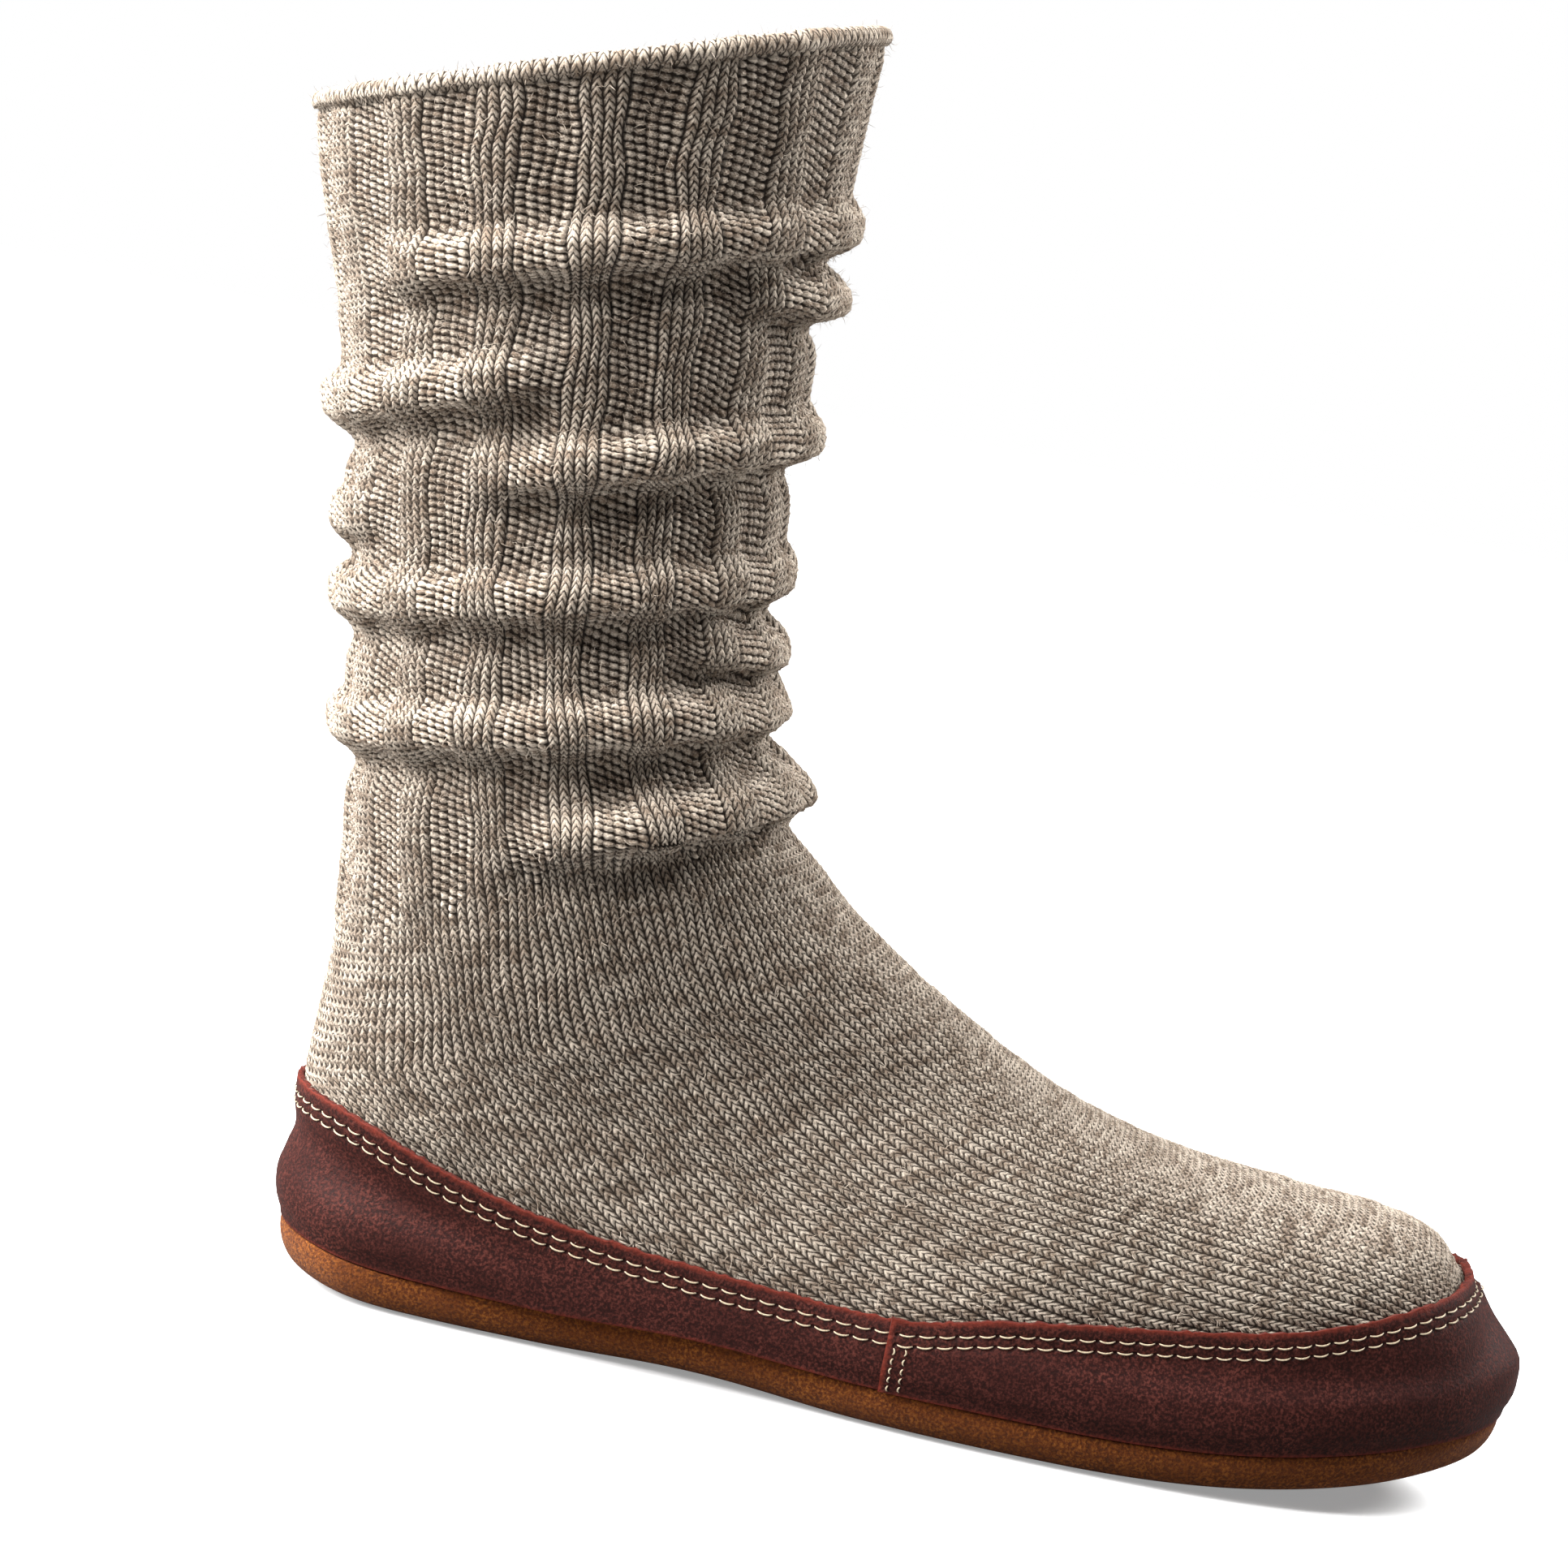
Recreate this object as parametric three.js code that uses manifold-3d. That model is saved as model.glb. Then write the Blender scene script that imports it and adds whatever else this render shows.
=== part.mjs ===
// Slipper sock for the right foot: a ribbed knit upper, slack round the ankle, in a leather rand of two
// lapped pieces, closed below by a thick cushioned insole and an outsole of suede with rounded edges.
// Millimetres. +X points to the toe, +Y to the inner side of the foot, +Z up.
import * as THREE from 'three';
import { mergeVertices } from 'three/addons/utils/BufferGeometryUtils.js';
import Module from 'manifold-3d';

const wasm = await Module();
wasm.setup();

// Thicknesses and clearances
const KNIT_WALL = 3;
const FOLD_WALL_SHARE = 0.7; // part of a fold's rise that the inside of the wall follows
const RAND_HEEL_THICKNESS = 1.7;
const RAND_TOE_THICKNESS = 2.2; // stands proud where it laps over the heel piece
const GAP = 0.3; // between pieces that meet
const OUTSOLE_TOP = 9;
const INSOLE_TOP = 20.5;

// Sole: flat under heel and forefoot, a low arch between, toe curved up and back of the heel a little
const HEEL_BACK_X = -91.5;
const TOE_TIP_X = 183.5;
const TOE_TIP_Y = 4.5;
const ARCH_RISE = 1.3;
const ARCH_BACK_X = -30;
const ARCH_FRONT_X = 42;
const SPRING_START_X = 86;
const TOE_SPRING = 13;
const HEEL_SPRING_X = -57;
const HEEL_SPRING = 3.6;

// Widest outline of the foot, at the bulge of the rand: distance from the middle line on each side
const OUTLINE = [
  { x: -87.5, outer: 15, inner: 15 },
  { x: -75, outer: 27.5, inner: 26.5 },
  { x: -53, outer: 32.5, inner: 31 },
  { x: -18, outer: 34.5, inner: 30.5 },
  { x: 20, outer: 39.5, inner: 34 },
  { x: 56, outer: 46, inner: 42.5 },
  { x: 90, outer: 47.5, inner: 46 },
  { x: 126, outer: 44.5, inner: 45 },
  { x: 154, outer: 34.5, inner: 38.5 },
  { x: 172, outer: 20, inner: 27 },
  { x: 181, outer: 7, inner: 15.5 },
];

// Sole pieces in section, from the floor up: how far each level lies inside the outline
const OUTSOLE_LEVELS = [
  { inset: 11, z: 0 },
  { inset: 6.2, z: 1 },
  { inset: 3.8, z: 3.2 },
  { inset: 2.6, z: 6.2 },
  { inset: 2.4, z: OUTSOLE_TOP },
];
const INSOLE_LEVELS = [
  { inset: 4.2, z: OUTSOLE_TOP + GAP },
  { inset: 2.8, z: 12.5 },
  { inset: 2.5, z: 16 },
  { inset: 3.6, z: 19 },
  { inset: 6, z: INSOLE_TOP },
];
// The rand is pulled over the insole's edge and slopes in to the sock, most of all at the toe
const LASTED_LEVELS = [
  { inset: 4.2, z: 0 },
  ...INSOLE_LEVELS.slice(0, 3),
  { inset: 3.1, z: 20 },
  { inset: 6.5, z: 24.5 },
  { inset: 10.7, z: 29.5 },
  { inset: 15, z: 36 },
];

// Sock sections from the collar to the toe: front (or top) and back (or under) points on the middle
// plane, half width, shift towards the inner side, squareness (1 is an ellipse, less is fuller),
// and the rows of facets down to the next section. The under points of the foot lie below the sole,
// so that the foot is widest just above the insole, where the sock is cut open.
const SECTIONS = [
  { frontX: -10.5, frontZ: 289, backX: -126, backZ: 252, halfWidth: 58, shift: 0, round: 1, rows: 5 },
  { frontX: -11.5, frontZ: 262, backX: -121, backZ: 233, halfWidth: 54, shift: 0, round: 1, rows: 7 },
  { frontX: -12, frontZ: 235, backX: -113.5, backZ: 211, halfWidth: 50, shift: 0, round: 1, rows: 7 },
  { frontX: -12, frontZ: 206, backX: -107, backZ: 184, halfWidth: 47, shift: 0, round: 1, rows: 7 },
  { frontX: -11, frontZ: 178, backX: -101.5, backZ: 156, halfWidth: 45, shift: 0, round: 1, rows: 7 },
  { frontX: -8, frontZ: 150, backX: -96, backZ: 128, halfWidth: 44, shift: 0, round: 1, rows: 6 },
  { frontX: 2, frontZ: 122, backX: -90.5, backZ: 96, halfWidth: 42, shift: 0, round: 0.97, rows: 3 },
  { frontX: 15, frontZ: 106, backX: -89, backZ: 68, halfWidth: 39, shift: 0, round: 0.94, rows: 2 },
  { frontX: 30, frontZ: 95, backX: -89.5, backZ: 43.5, halfWidth: 36, shift: 0, round: 0.9, rows: 2 },
  { frontX: 44, frontZ: 86.5, backX: -87.5, backZ: 18.5, halfWidth: 34, shift: 0, round: 0.86, rows: 2 },
  { frontX: 56, frontZ: 80, backX: -69, backZ: -12, halfWidth: 34.5, shift: 0, round: 0.84, rows: 2 },
  { frontX: 68.5, frontZ: 74, backX: -10, backZ: -20, halfWidth: 37.5, shift: -1, round: 0.84, rows: 2 },
  { frontX: 83, frontZ: 68.5, backX: 48, backZ: -16, halfWidth: 42, shift: -1, round: 0.84, rows: 2 },
  { frontX: 102, frontZ: 64, backX: 93, backZ: -10, halfWidth: 42, shift: 0, round: 0.82, rows: 2 },
  { frontX: 127, frontZ: 61.5, backX: 130, backZ: -4, halfWidth: 39.5, shift: 1, round: 0.82, rows: 2 },
  { frontX: 147.5, frontZ: 60, backX: 154, backZ: 3, halfWidth: 33, shift: 2.5, round: 0.82, rows: 2 },
  { frontX: 159, frontZ: 57, backX: 169, backZ: 10, halfWidth: 25, shift: 3.5, round: 0.85, rows: 1 },
  { frontX: 166, frontZ: 50.5, backX: 176, backZ: 18, halfWidth: 15, shift: 4.5, round: 0.95, rows: 0 },
];
const COLLAR_RUNOUT = 6; // how far the hollow reaches past the collar
const TIP_REACH = 1.2; // how far the toe bulges past the last section
const TOE_SHARE = 0.82; // share of the sock's run from which the surface turns to face the toe

// Slouch folds of the shaft. Angles go round from the front (0) over the outer side (90) to the back
// (180), and over the inner side with a minus sign. A fold's crest lies at level + slope * cos(angle).
const FOLDS = [
  { level: 231, slope: 15, middle: 55, span: 95, rise: 4, height: 5 },
  { level: 229, slope: 2, middle: 6, span: 50, rise: 5, height: 4.5 },
  { level: 207, slope: 18, middle: 150, span: 70, rise: 4.6, height: 5 },
  { level: 187, slope: 14, middle: 44, span: 76, rise: 5, height: 5 },
  { level: 187, slope: 22, middle: 178, span: 45, rise: 3.2, height: 4.5 },
  { level: 160, slope: 11, middle: 90, span: 180, rise: 3.6, height: 5 },
  { level: 158, slope: -3, middle: 15, span: 52, rise: 4, height: 4.5 },
  { level: 133, slope: 11, middle: 90, span: 180, rise: 4.2, height: 5 },
  { level: 110, slope: 17, middle: 38, span: 72, rise: 5, height: 5 },
  { level: 222, slope: 10, middle: -95, span: 60, rise: 3.6, height: 5 },
  { level: 184, slope: 12, middle: -80, span: 75, rise: 3.8, height: 5 },
  { level: 108, slope: 15, middle: -50, span: 60, rise: 4, height: 5 },
];
const FOLD_FADE = 34; // degrees over which a fold dies away at its ends
const FOLD_TUCK = 0.3; // dip under a fold, as a part of its rise

// Upper edge of the rand from heel to toe, the same on both sides
const RAND_EDGE = [
  { x: -110, z: 44 },
  { x: -92, z: 43.5 },
  { x: -76, z: 41 },
  { x: -54, z: 34.5 },
  { x: -28, z: 29 },
  { x: 6, z: 26 },
  { x: 44, z: 25 },
  { x: 70, z: 30 },
  { x: 98, z: 34 },
  { x: 126, z: 38 },
  { x: 148, z: 44 },
  { x: 167, z: 51 },
  { x: 190, z: 58 },
];
const RAND_SECTION = 6; // first sock section that the rand can reach
const SEAM_X = 44; // side seams, where the toe piece laps over the heel piece

// Facets
const AROUND_OUTER = 34;
const AROUND_INNER = 26;
const AROUND_SOLE = 52;
const BLOCK_STEPS = 40;
const FAR = 260; // half size of the blocks that cut

const COLOURS = {
  knit_upper: { color: 0xb3a595, roughness: 0.95, metalness: 0 },
  rand_heel: { color: 0x59322a, roughness: 0.7, metalness: 0 },
  rand_toe: { color: 0x4d2b25, roughness: 0.7, metalness: 0 },
  insole: { color: 0xa8967f, roughness: 0.95, metalness: 0 },
  outsole: { color: 0x7d481e, roughness: 0.95, metalness: 0 },
};

// Height of the sole line over the floor at a distance along the foot
function soleLift(x) {
  const arch = THREE.MathUtils.clamp((x - ARCH_BACK_X) / (ARCH_FRONT_X - ARCH_BACK_X), 0, 1);
  const toe = Math.max(0, (x - SPRING_START_X) / (TOE_TIP_X - SPRING_START_X));
  const heel = Math.max(0, (HEEL_SPRING_X - x) / (HEEL_SPRING_X - HEEL_BACK_X));
  return ARCH_RISE * Math.sin(Math.PI * arch) ** 2 + TOE_SPRING * toe ** 2 + HEEL_SPRING * heel ** 2;
}

// Closed outline of the foot, once round from the heel over the outer side to the toe and back
const outlineCurve = new THREE.CatmullRomCurve3(
  [
    new THREE.Vector3(HEEL_BACK_X, 0, 0),
    ...OUTLINE.map((row) => new THREE.Vector3(row.x, -row.outer, 0)),
    new THREE.Vector3(TOE_TIP_X, TOE_TIP_Y, 0),
    ...OUTLINE.toReversed().map((row) => new THREE.Vector3(row.x, row.inner, 0)),
  ],
  true,
  'centripetal',
);

// Ring of points at one level of a sole piece
function soleRing(inset, z) {
  const ring = [];
  for (let i = 0; i < AROUND_SOLE; i += 1) {
    const point = outlineCurve.getPoint(i / AROUND_SOLE);
    const along = outlineCurve.getTangent(i / AROUND_SOLE);
    point.x -= along.y * inset;
    point.y += along.x * inset;
    point.z = z + soleLift(point.x);
    ring.push(point);
  }
  return ring;
}

// Smooth runs of the section table: front line, back line, and width, shift and roundness
const tableCurve = (pick) => new THREE.CatmullRomCurve3(SECTIONS.map(pick), false, 'catmullrom', 0.5);
const frontLine = tableCurve((row) => new THREE.Vector3(row.frontX, 0, row.frontZ));
const backLine = tableCurve((row) => new THREE.Vector3(row.backX, 0, row.backZ));
const widthLine = tableCurve((row) => new THREE.Vector3(row.halfWidth, row.shift, row.round));

// How far the folds stand out at an angle and a height of the shaft
function foldRise(angle, z) {
  let total = 0;
  for (const fold of FOLDS) {
    const turn = Math.abs(THREE.MathUtils.euclideanModulo(angle - fold.middle + 180, 360) - 180);
    const ends = fold.span >= 180 ? 1 : THREE.MathUtils.smoothstep(fold.span - turn, 0, FOLD_FADE);
    const crest = fold.level + fold.slope * Math.cos(THREE.MathUtils.degToRad(angle));
    const step = (z - crest) / fold.height;
    const bulge = Math.exp(-step * step);
    const tuck = FOLD_TUCK * Math.exp(-((step + 1.7) ** 2));
    total += fold.rise * ends * (bulge - tuck);
  }
  return total;
}

const signedPower = (value, power) => Math.sign(value) * Math.abs(value) ** power;

// Point of the sock's surface at a share of its run and an angle, moved out by an offset
function sockPoint(share, angle, offset, foldShare) {
  const front = frontLine.getPoint(share);
  const back = backLine.getPoint(share);
  const { x: halfWidth, y: shift, z: round } = widthLine.getPoint(share);
  const middle = front.clone().add(back).multiplyScalar(0.5);
  const up = front.clone().sub(back);
  const halfHeight = up.length() / 2;
  up.normalize();
  const turn = THREE.MathUtils.degToRad(angle);
  const across = signedPower(Math.cos(turn), round);
  const sideways = signedPower(Math.sin(turn), round);
  const level = middle.z + up.z * halfHeight * across;
  const out = offset + foldShare * foldRise(angle, level);
  middle.addScaledVector(up, (halfHeight + out) * across);
  middle.y = shift - (halfWidth + out) * sideways;
  middle.x += out * THREE.MathUtils.smoothstep(share, TOE_SHARE, 1);
  return middle;
}

// Shares of the sock's run at which it has a row of facets
function rowShares(rowScale) {
  const shares = [0];
  SECTIONS.forEach((row, i) => {
    const count = Math.ceil(row.rows * rowScale);
    for (let k = 1; k <= count; k += 1) {
      shares.push((i + k / count) / (SECTIONS.length - 1));
    }
  });
  return shares;
}

// Closed form of the sock, grown or shrunk by an offset, from one of its sections to the toe
function sockForm({ offset, foldShare, around, rowScale, start, runout }) {
  const shares = rowShares(rowScale).filter((share) => share >= start / (SECTIONS.length - 1));
  const rings = shares.map((share) =>
    Array.from({ length: around }, (_, k) => sockPoint(share, (360 * k) / around, offset, foldShare)));
  if (runout > 0) {
    const axis = frontLine.getPoint(0).sub(frontLine.getPoint(0.02)).setLength(runout);
    rings.unshift(rings[0].map((point) => point.clone().add(axis)));
  }
  const first = centre(rings[0]);
  const last = centre(rings.at(-1));
  last.x += TIP_REACH;
  return solidFrom(rings, [first], [last]);
}

function centre(points) {
  const sum = new THREE.Vector3();
  points.forEach((point) => sum.add(point));
  return sum.divideScalar(points.length);
}

// Closed body through a stack of rings. A cap of one point is a fan; with no cap points the ring is
// closed by rungs from its outer to its inner side.
function solidFrom(rings, firstCap, lastCap) {
  const count = rings[0].length;
  const points = [...rings.flat(), ...firstCap, ...lastCap];
  const index = [];
  for (let r = 0; r + 1 < rings.length; r += 1) {
    for (let k = 0; k < count; k += 1) {
      const a = r * count + k;
      const b = r * count + ((k + 1) % count);
      index.push(a, b, b + count, a, b + count, a + count);
    }
  }
  const close = (start, tip, flip) => {
    const add = (a, b, c) => (flip ? index.push(a, c, b) : index.push(a, b, c));
    for (let k = 0; tip >= 0 && k < count; k += 1) {
      add(start + k, tip, start + ((k + 1) % count));
    }
    for (let k = 0; tip < 0 && k < count / 2; k += 1) {
      const right = start + ((count - k) % count);
      const nextRight = start + count - k - 1;
      if (k > 0) {
        add(start + k, right, nextRight);
      }
      if (k + 1 < count / 2) {
        add(start + k, nextRight, start + k + 1);
      }
    }
  };
  const rims = rings.length * count;
  close(0, firstCap.length ? rims : -1, false);
  close(rims - count, lastCap.length ? rims + firstCap.length : -1, true);
  const geometry = new THREE.BufferGeometry().setFromPoints(points);
  geometry.setIndex(index);
  return toSolid(geometry);
}

// Solid of a closed geometry, turned so that its faces point out
function toSolid(geometry) {
  geometry.deleteAttribute('normal');
  geometry.deleteAttribute('uv');
  const merged = mergeVertices(geometry, 1e-4);
  const vertProperties = Float32Array.from(merged.attributes.position.array);
  const triVerts = Uint32Array.from(merged.index.array);
  if (signedVolume(vertProperties, triVerts) < 0) {
    triVerts.reverse();
  }
  return new wasm.Manifold(new wasm.Mesh({ numProp: 3, vertProperties, triVerts }));
}

function signedVolume(positions, triangles) {
  const corner = [new THREE.Vector3(), new THREE.Vector3(), new THREE.Vector3()];
  let sum = 0;
  for (let i = 0; i < triangles.length; i += 3) {
    corner.forEach((point, k) => point.fromArray(positions, triangles[i + k] * 3));
    sum += corner[0].dot(corner[1].cross(corner[2]));
  }
  return sum / 6;
}

// Block that fills everything under a line of heights along the foot, from x = low to x = high
function blockUnder(heightAt, low, high) {
  const box = new THREE.BoxGeometry(high - low, FAR, FAR, BLOCK_STEPS, 1, 1);
  const place = box.attributes.position;
  for (let i = 0; i < place.count; i += 1) {
    const x = place.getX(i) + (low + high) / 2;
    const top = place.getZ(i) > 0;
    place.setXYZ(i, x, place.getY(i), top ? heightAt(x) : -FAR);
  }
  return toSolid(box);
}

// Height of the rand's upper edge
const edgeCurve = new THREE.CatmullRomCurve3(RAND_EDGE.map((row) => new THREE.Vector3(row.x, 0, row.z)));
const edgePoints = edgeCurve.getPoints(200);
function randEdge(x) {
  const next = edgePoints.findIndex((point) => point.x > x);
  if (next < 1) {
    return next === 0 ? edgePoints[0].z : edgePoints.at(-1).z;
  }
  const before = edgePoints[next - 1];
  const after = edgePoints[next];
  return THREE.MathUtils.lerp(before.z, after.z, (x - before.x) / (after.x - before.x));
}

// Sole piece through a table of levels, grown outwards and upwards by an offset
function soleForm(levels, offset) {
  const top = levels.length - 1;
  return solidFrom(levels.map((level, i) => soleRing(level.inset - offset, level.z + (offset * i) / top)), [], []);
}

function knitUpper() {
  const outside = sockForm({
    offset: 0, foldShare: 1, around: AROUND_OUTER, rowScale: 1, start: 0, runout: 0,
  });
  const inside = sockForm({
    offset: -KNIT_WALL, foldShare: FOLD_WALL_SHARE, around: AROUND_INNER, rowScale: 0.6, start: 0,
    runout: COLLAR_RUNOUT,
  });
  const sole = blockUnder((x) => INSOLE_TOP + GAP + soleLift(x), HEEL_BACK_X - 40, TOE_TIP_X + 40);
  return outside.subtract(inside).subtract(sole);
}

// Piece of the rand: the skin between the lasted foot and the same foot grown by the leather
function rand(thickness, low, high) {
  const grown = (offset) => {
    const sock = sockForm({
      offset, foldShare: 0, around: AROUND_OUTER, rowScale: 1, start: RAND_SECTION, runout: 0,
    });
    return sock.add(soleForm(LASTED_LEVELS, offset));
  };
  const skin = grown(GAP + thickness).subtract(grown(GAP));
  const below = blockUnder((x) => OUTSOLE_TOP + GAP + soleLift(x), HEEL_BACK_X - 60, TOE_TIP_X + 60);
  return skin.intersect(blockUnder(randEdge, low, high)).subtract(below);
}

// Mesh of a solid with its colour
function meshOf(name, solid) {
  const { vertProperties, triVerts } = solid.getMesh();
  const geometry = new THREE.BufferGeometry();
  geometry.setAttribute('position', new THREE.BufferAttribute(vertProperties, 3));
  geometry.setIndex(new THREE.BufferAttribute(triVerts, 1));
  geometry.computeVertexNormals();
  const mesh = new THREE.Mesh(geometry, new THREE.MeshStandardMaterial(COLOURS[name]));
  mesh.name = name;
  return mesh;
}

const slipper = new THREE.Group();
slipper.add(meshOf('outsole', soleForm(OUTSOLE_LEVELS, 0)));
slipper.add(meshOf('insole', soleForm(INSOLE_LEVELS, 0)));
slipper.add(meshOf('knit_upper', knitUpper()));
slipper.add(meshOf('rand_heel', rand(RAND_HEEL_THICKNESS, HEEL_BACK_X - 40, SEAM_X - GAP / 2)));
slipper.add(meshOf('rand_toe', rand(RAND_TOE_THICKNESS, SEAM_X + GAP / 2, TOE_TIP_X + 40)));

// Origin on the floor, under the middle of the whole
const bounds = new THREE.Box3().setFromObject(slipper);
const middle = bounds.getCenter(new THREE.Vector3());
slipper.position.set(-middle.x, -middle.y, -bounds.min.z);

export default slipper;
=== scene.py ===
"""Slipper sock for the right foot: slouched ribbed wool shaft, leather rand, insole and suede sole.

The sizes below are millimetres of the shoe's own frame, with +X to the toe, +Y to the inner side and
+Z up. MM turns them into metres, and FRAME_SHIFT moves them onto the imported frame.
"""

import math
from functools import partial

import bpy
import numpy as np
from bpy.props import FloatProperty, FloatVectorProperty, IntProperty, PointerProperty
from mathutils import Matrix, Vector
from mathutils.bvhtree import BVHTree


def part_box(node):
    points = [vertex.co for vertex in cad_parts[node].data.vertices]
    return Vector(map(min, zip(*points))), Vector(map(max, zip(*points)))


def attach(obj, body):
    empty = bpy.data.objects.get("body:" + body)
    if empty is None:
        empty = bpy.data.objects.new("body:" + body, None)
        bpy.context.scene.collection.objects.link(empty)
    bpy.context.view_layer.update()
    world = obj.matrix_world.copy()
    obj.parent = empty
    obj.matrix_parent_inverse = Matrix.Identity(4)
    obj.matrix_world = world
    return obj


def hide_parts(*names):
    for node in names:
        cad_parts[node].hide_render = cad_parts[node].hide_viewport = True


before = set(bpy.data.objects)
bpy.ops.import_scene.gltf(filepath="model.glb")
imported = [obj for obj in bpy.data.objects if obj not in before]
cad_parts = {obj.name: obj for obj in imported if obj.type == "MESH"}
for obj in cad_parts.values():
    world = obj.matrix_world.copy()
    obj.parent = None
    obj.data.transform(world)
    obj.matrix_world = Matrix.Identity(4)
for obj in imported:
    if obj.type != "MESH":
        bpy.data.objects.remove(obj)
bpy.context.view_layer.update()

bl_info = {
    "name": "Slipper Sock",
    "version": (1, 0, 0),
    "blender": (4, 5, 0),
    "location": "3D View > Sidebar > Slipper",
    "description": "Knit, leather and suede of a slouched slipper sock, built round its frame",
    "category": "Object",
}

MM = 0.001
SEED = 11
WELD = 1e-6  # metres within which a closed grid's two edges are one

# Sole
HEEL_BACK_X = -91.5
TOE_TIP = (183.5, 4.5)
ARCH_RISE = 1.3
ARCH_X = (-30, 42)
SPRING_START_X = 86
TOE_SPRING = 13
HEEL_SPRING_X = -57
HEEL_SPRING = 3.6
OUTSOLE_TOP = 9
INSOLE_TOP = 20.5
GAP = 0.3
OUTSOLE_INSET = 2.4  # least inset of the outsole's side, which sets the frame's place
PAD_CROWN = 1.2  # rise of the insole's middle
PAD_SKIN = 1.5  # depth below the insole's top that is shaped
PAD_FALL = (8, 36)  # distances from the middle line between which the shaping fades
HEEL_DISH = 1.8  # sink under the heel
HEEL_MIDDLE_X = -56
HEEL_REACH = 24
SPINE_ENDS = (24, 26)  # how far the foot's middle line stays from heel and toe
SPINE_SHIFT = 4  # how far its front end lies to the inner side

# Widest outline of the foot: place along it, then the reach to the outer and the inner side
OUTLINE = (
    (-87.5, 15, 15),
    (-75, 27.5, 26.5),
    (-53, 32.5, 31),
    (-18, 34.5, 30.5),
    (20, 39.5, 34),
    (56, 46, 42.5),
    (90, 47.5, 46),
    (126, 44.5, 45),
    (154, 34.5, 38.5),
    (172, 20, 27),
    (181, 7, 15.5),
)

# Sole pieces in section, from below: inset from the outline, height
OUTSOLE_LEVELS = ((11, 0), (6.2, 1), (3.8, 3.2), (2.6, 6.2), (2.4, 9))
INSOLE_LEVELS = ((4.2, 9.3), (2.8, 12.5), (2.5, 16), (3.6, 19), (6, 20.5))
LASTED_LEVELS = (
    (4.2, 0), (4.2, 9.3), (2.8, 12.5), (2.5, 16), (3.1, 20), (6.5, 24.5), (10.7, 29.5), (15, 36))

# Rings of a sole piece and points round each; then the rings that close it, as shares of its edge
OUTSOLE_GRID = (22, 420)
INSOLE_GRID = (16, 300)
OUTSOLE_CAPS = (0.0, 0.35, 0.7, 0.9, 0.97)
INSOLE_CAPS = (0.0, 0.15, 0.3, 0.45, 0.6, 0.75, 0.85, 0.93, 0.98)

# Sock sections from the collar to the toe: x and z in front, x and z behind, half width, shift to the
# inner side, and roundness, where 1 is an ellipse
SECTIONS = (
    (-10.5, 289, -126, 252, 58, 0, 1),
    (-11.5, 262, -121, 233, 54, 0, 1),
    (-12, 235, -113.5, 211, 50, 0, 1),
    (-12, 206, -107, 184, 47, 0, 1),
    (-11, 178, -101.5, 156, 45, 0, 1),
    (-8, 150, -96, 128, 44, 0, 1),
    (2, 122, -90.5, 96, 42, 0, 0.97),
    (15, 106, -89, 68, 39, 0, 0.94),
    (30, 95, -89.5, 43.5, 36, 0, 0.9),
    (44, 86.5, -87.5, 18.5, 34, 0, 0.86),
    (56, 80, -69, -12, 34.5, 0, 0.84),
    (68.5, 74, -10, -20, 37.5, -1, 0.84),
    (83, 68.5, 48, -16, 42, -1, 0.84),
    (102, 64, 93, -10, 42, 0, 0.82),
    (127, 61.5, 130, -4, 39.5, 1, 0.82),
    (147.5, 60, 154, 3, 33, 2.5, 0.82),
    (159, 57, 169, 10, 25, 3.5, 0.85),
    (166, 50.5, 176, 18, 15, 4.5, 0.95),
)
LAST_SECTION = len(SECTIONS) - 1
RIB_END = 6 / LAST_SECTION  # share of the sock's run where the ribs end
EVEN_WALES = 8 / LAST_SECTION  # from here on the wales keep their width
TOE_SHARE = 0.82  # from here on, moving the surface out also moves it forwards
TIP_REACH = 1.2  # how far the tip lies ahead of the last section
KNIT_WALL = 3
INSIDE_FOLD_SHARE = 0.7  # part of the folds that shows inside
INSIDE_START = 0.006  # share of the run where the inside starts below the rim
INSIDE_ROWS = (110, 70)  # rows of the inside on the shaft and on the foot
INSIDE_SINK = 3  # how far the inside goes on below the insole's top

# Slouch folds. Angles go round from the front (0) over the outer side (90) to the back (180).
# A crest lies at level + slope * cos(angle) and stands out by rise. A row gives level, slope, the middle
# of the fold's angles and its span to both sides, rise, and height.
FOLDS = (
    (231, 15, 55, 95, 4, 5),
    (229, 2, 6, 50, 5, 4.5),
    (207, 18, 150, 70, 4.6, 5),
    (187, 14, 44, 76, 5, 5),
    (187, 22, 178, 45, 3.2, 4.5),
    (160, 11, 90, 180, 3.6, 5),
    (158, -3, 15, 52, 4, 4.5),
    (133, 11, 90, 180, 4.2, 5),
    (110, 17, 38, 72, 5, 5),
    (222, 10, -95, 60, 3.6, 5),
    (184, 12, -80, 75, 3.8, 5),
    (108, 15, -50, 60, 4, 5),
)
FOLD_FADE = 34  # degrees over which a fold runs out
FOLD_SIZE = 1.03  # the knit's rolls against the folds of its bare wall: height, then rise
FOLD_SWELL = 1.15
FOLD_TUCK = 0.46  # how far the knit draws in below a roll
TUCK_PLACE = 1.75  # how far below the crest, in heights of the roll, and the tuck's own size
TUCK_SIZE = 0.75
FOLD_ROUND = 4.0  # power of a roll's section, which is fuller than a bell
FOLD_DROP = 0.1  # how far a roll hangs down, as a part of its rise

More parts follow.
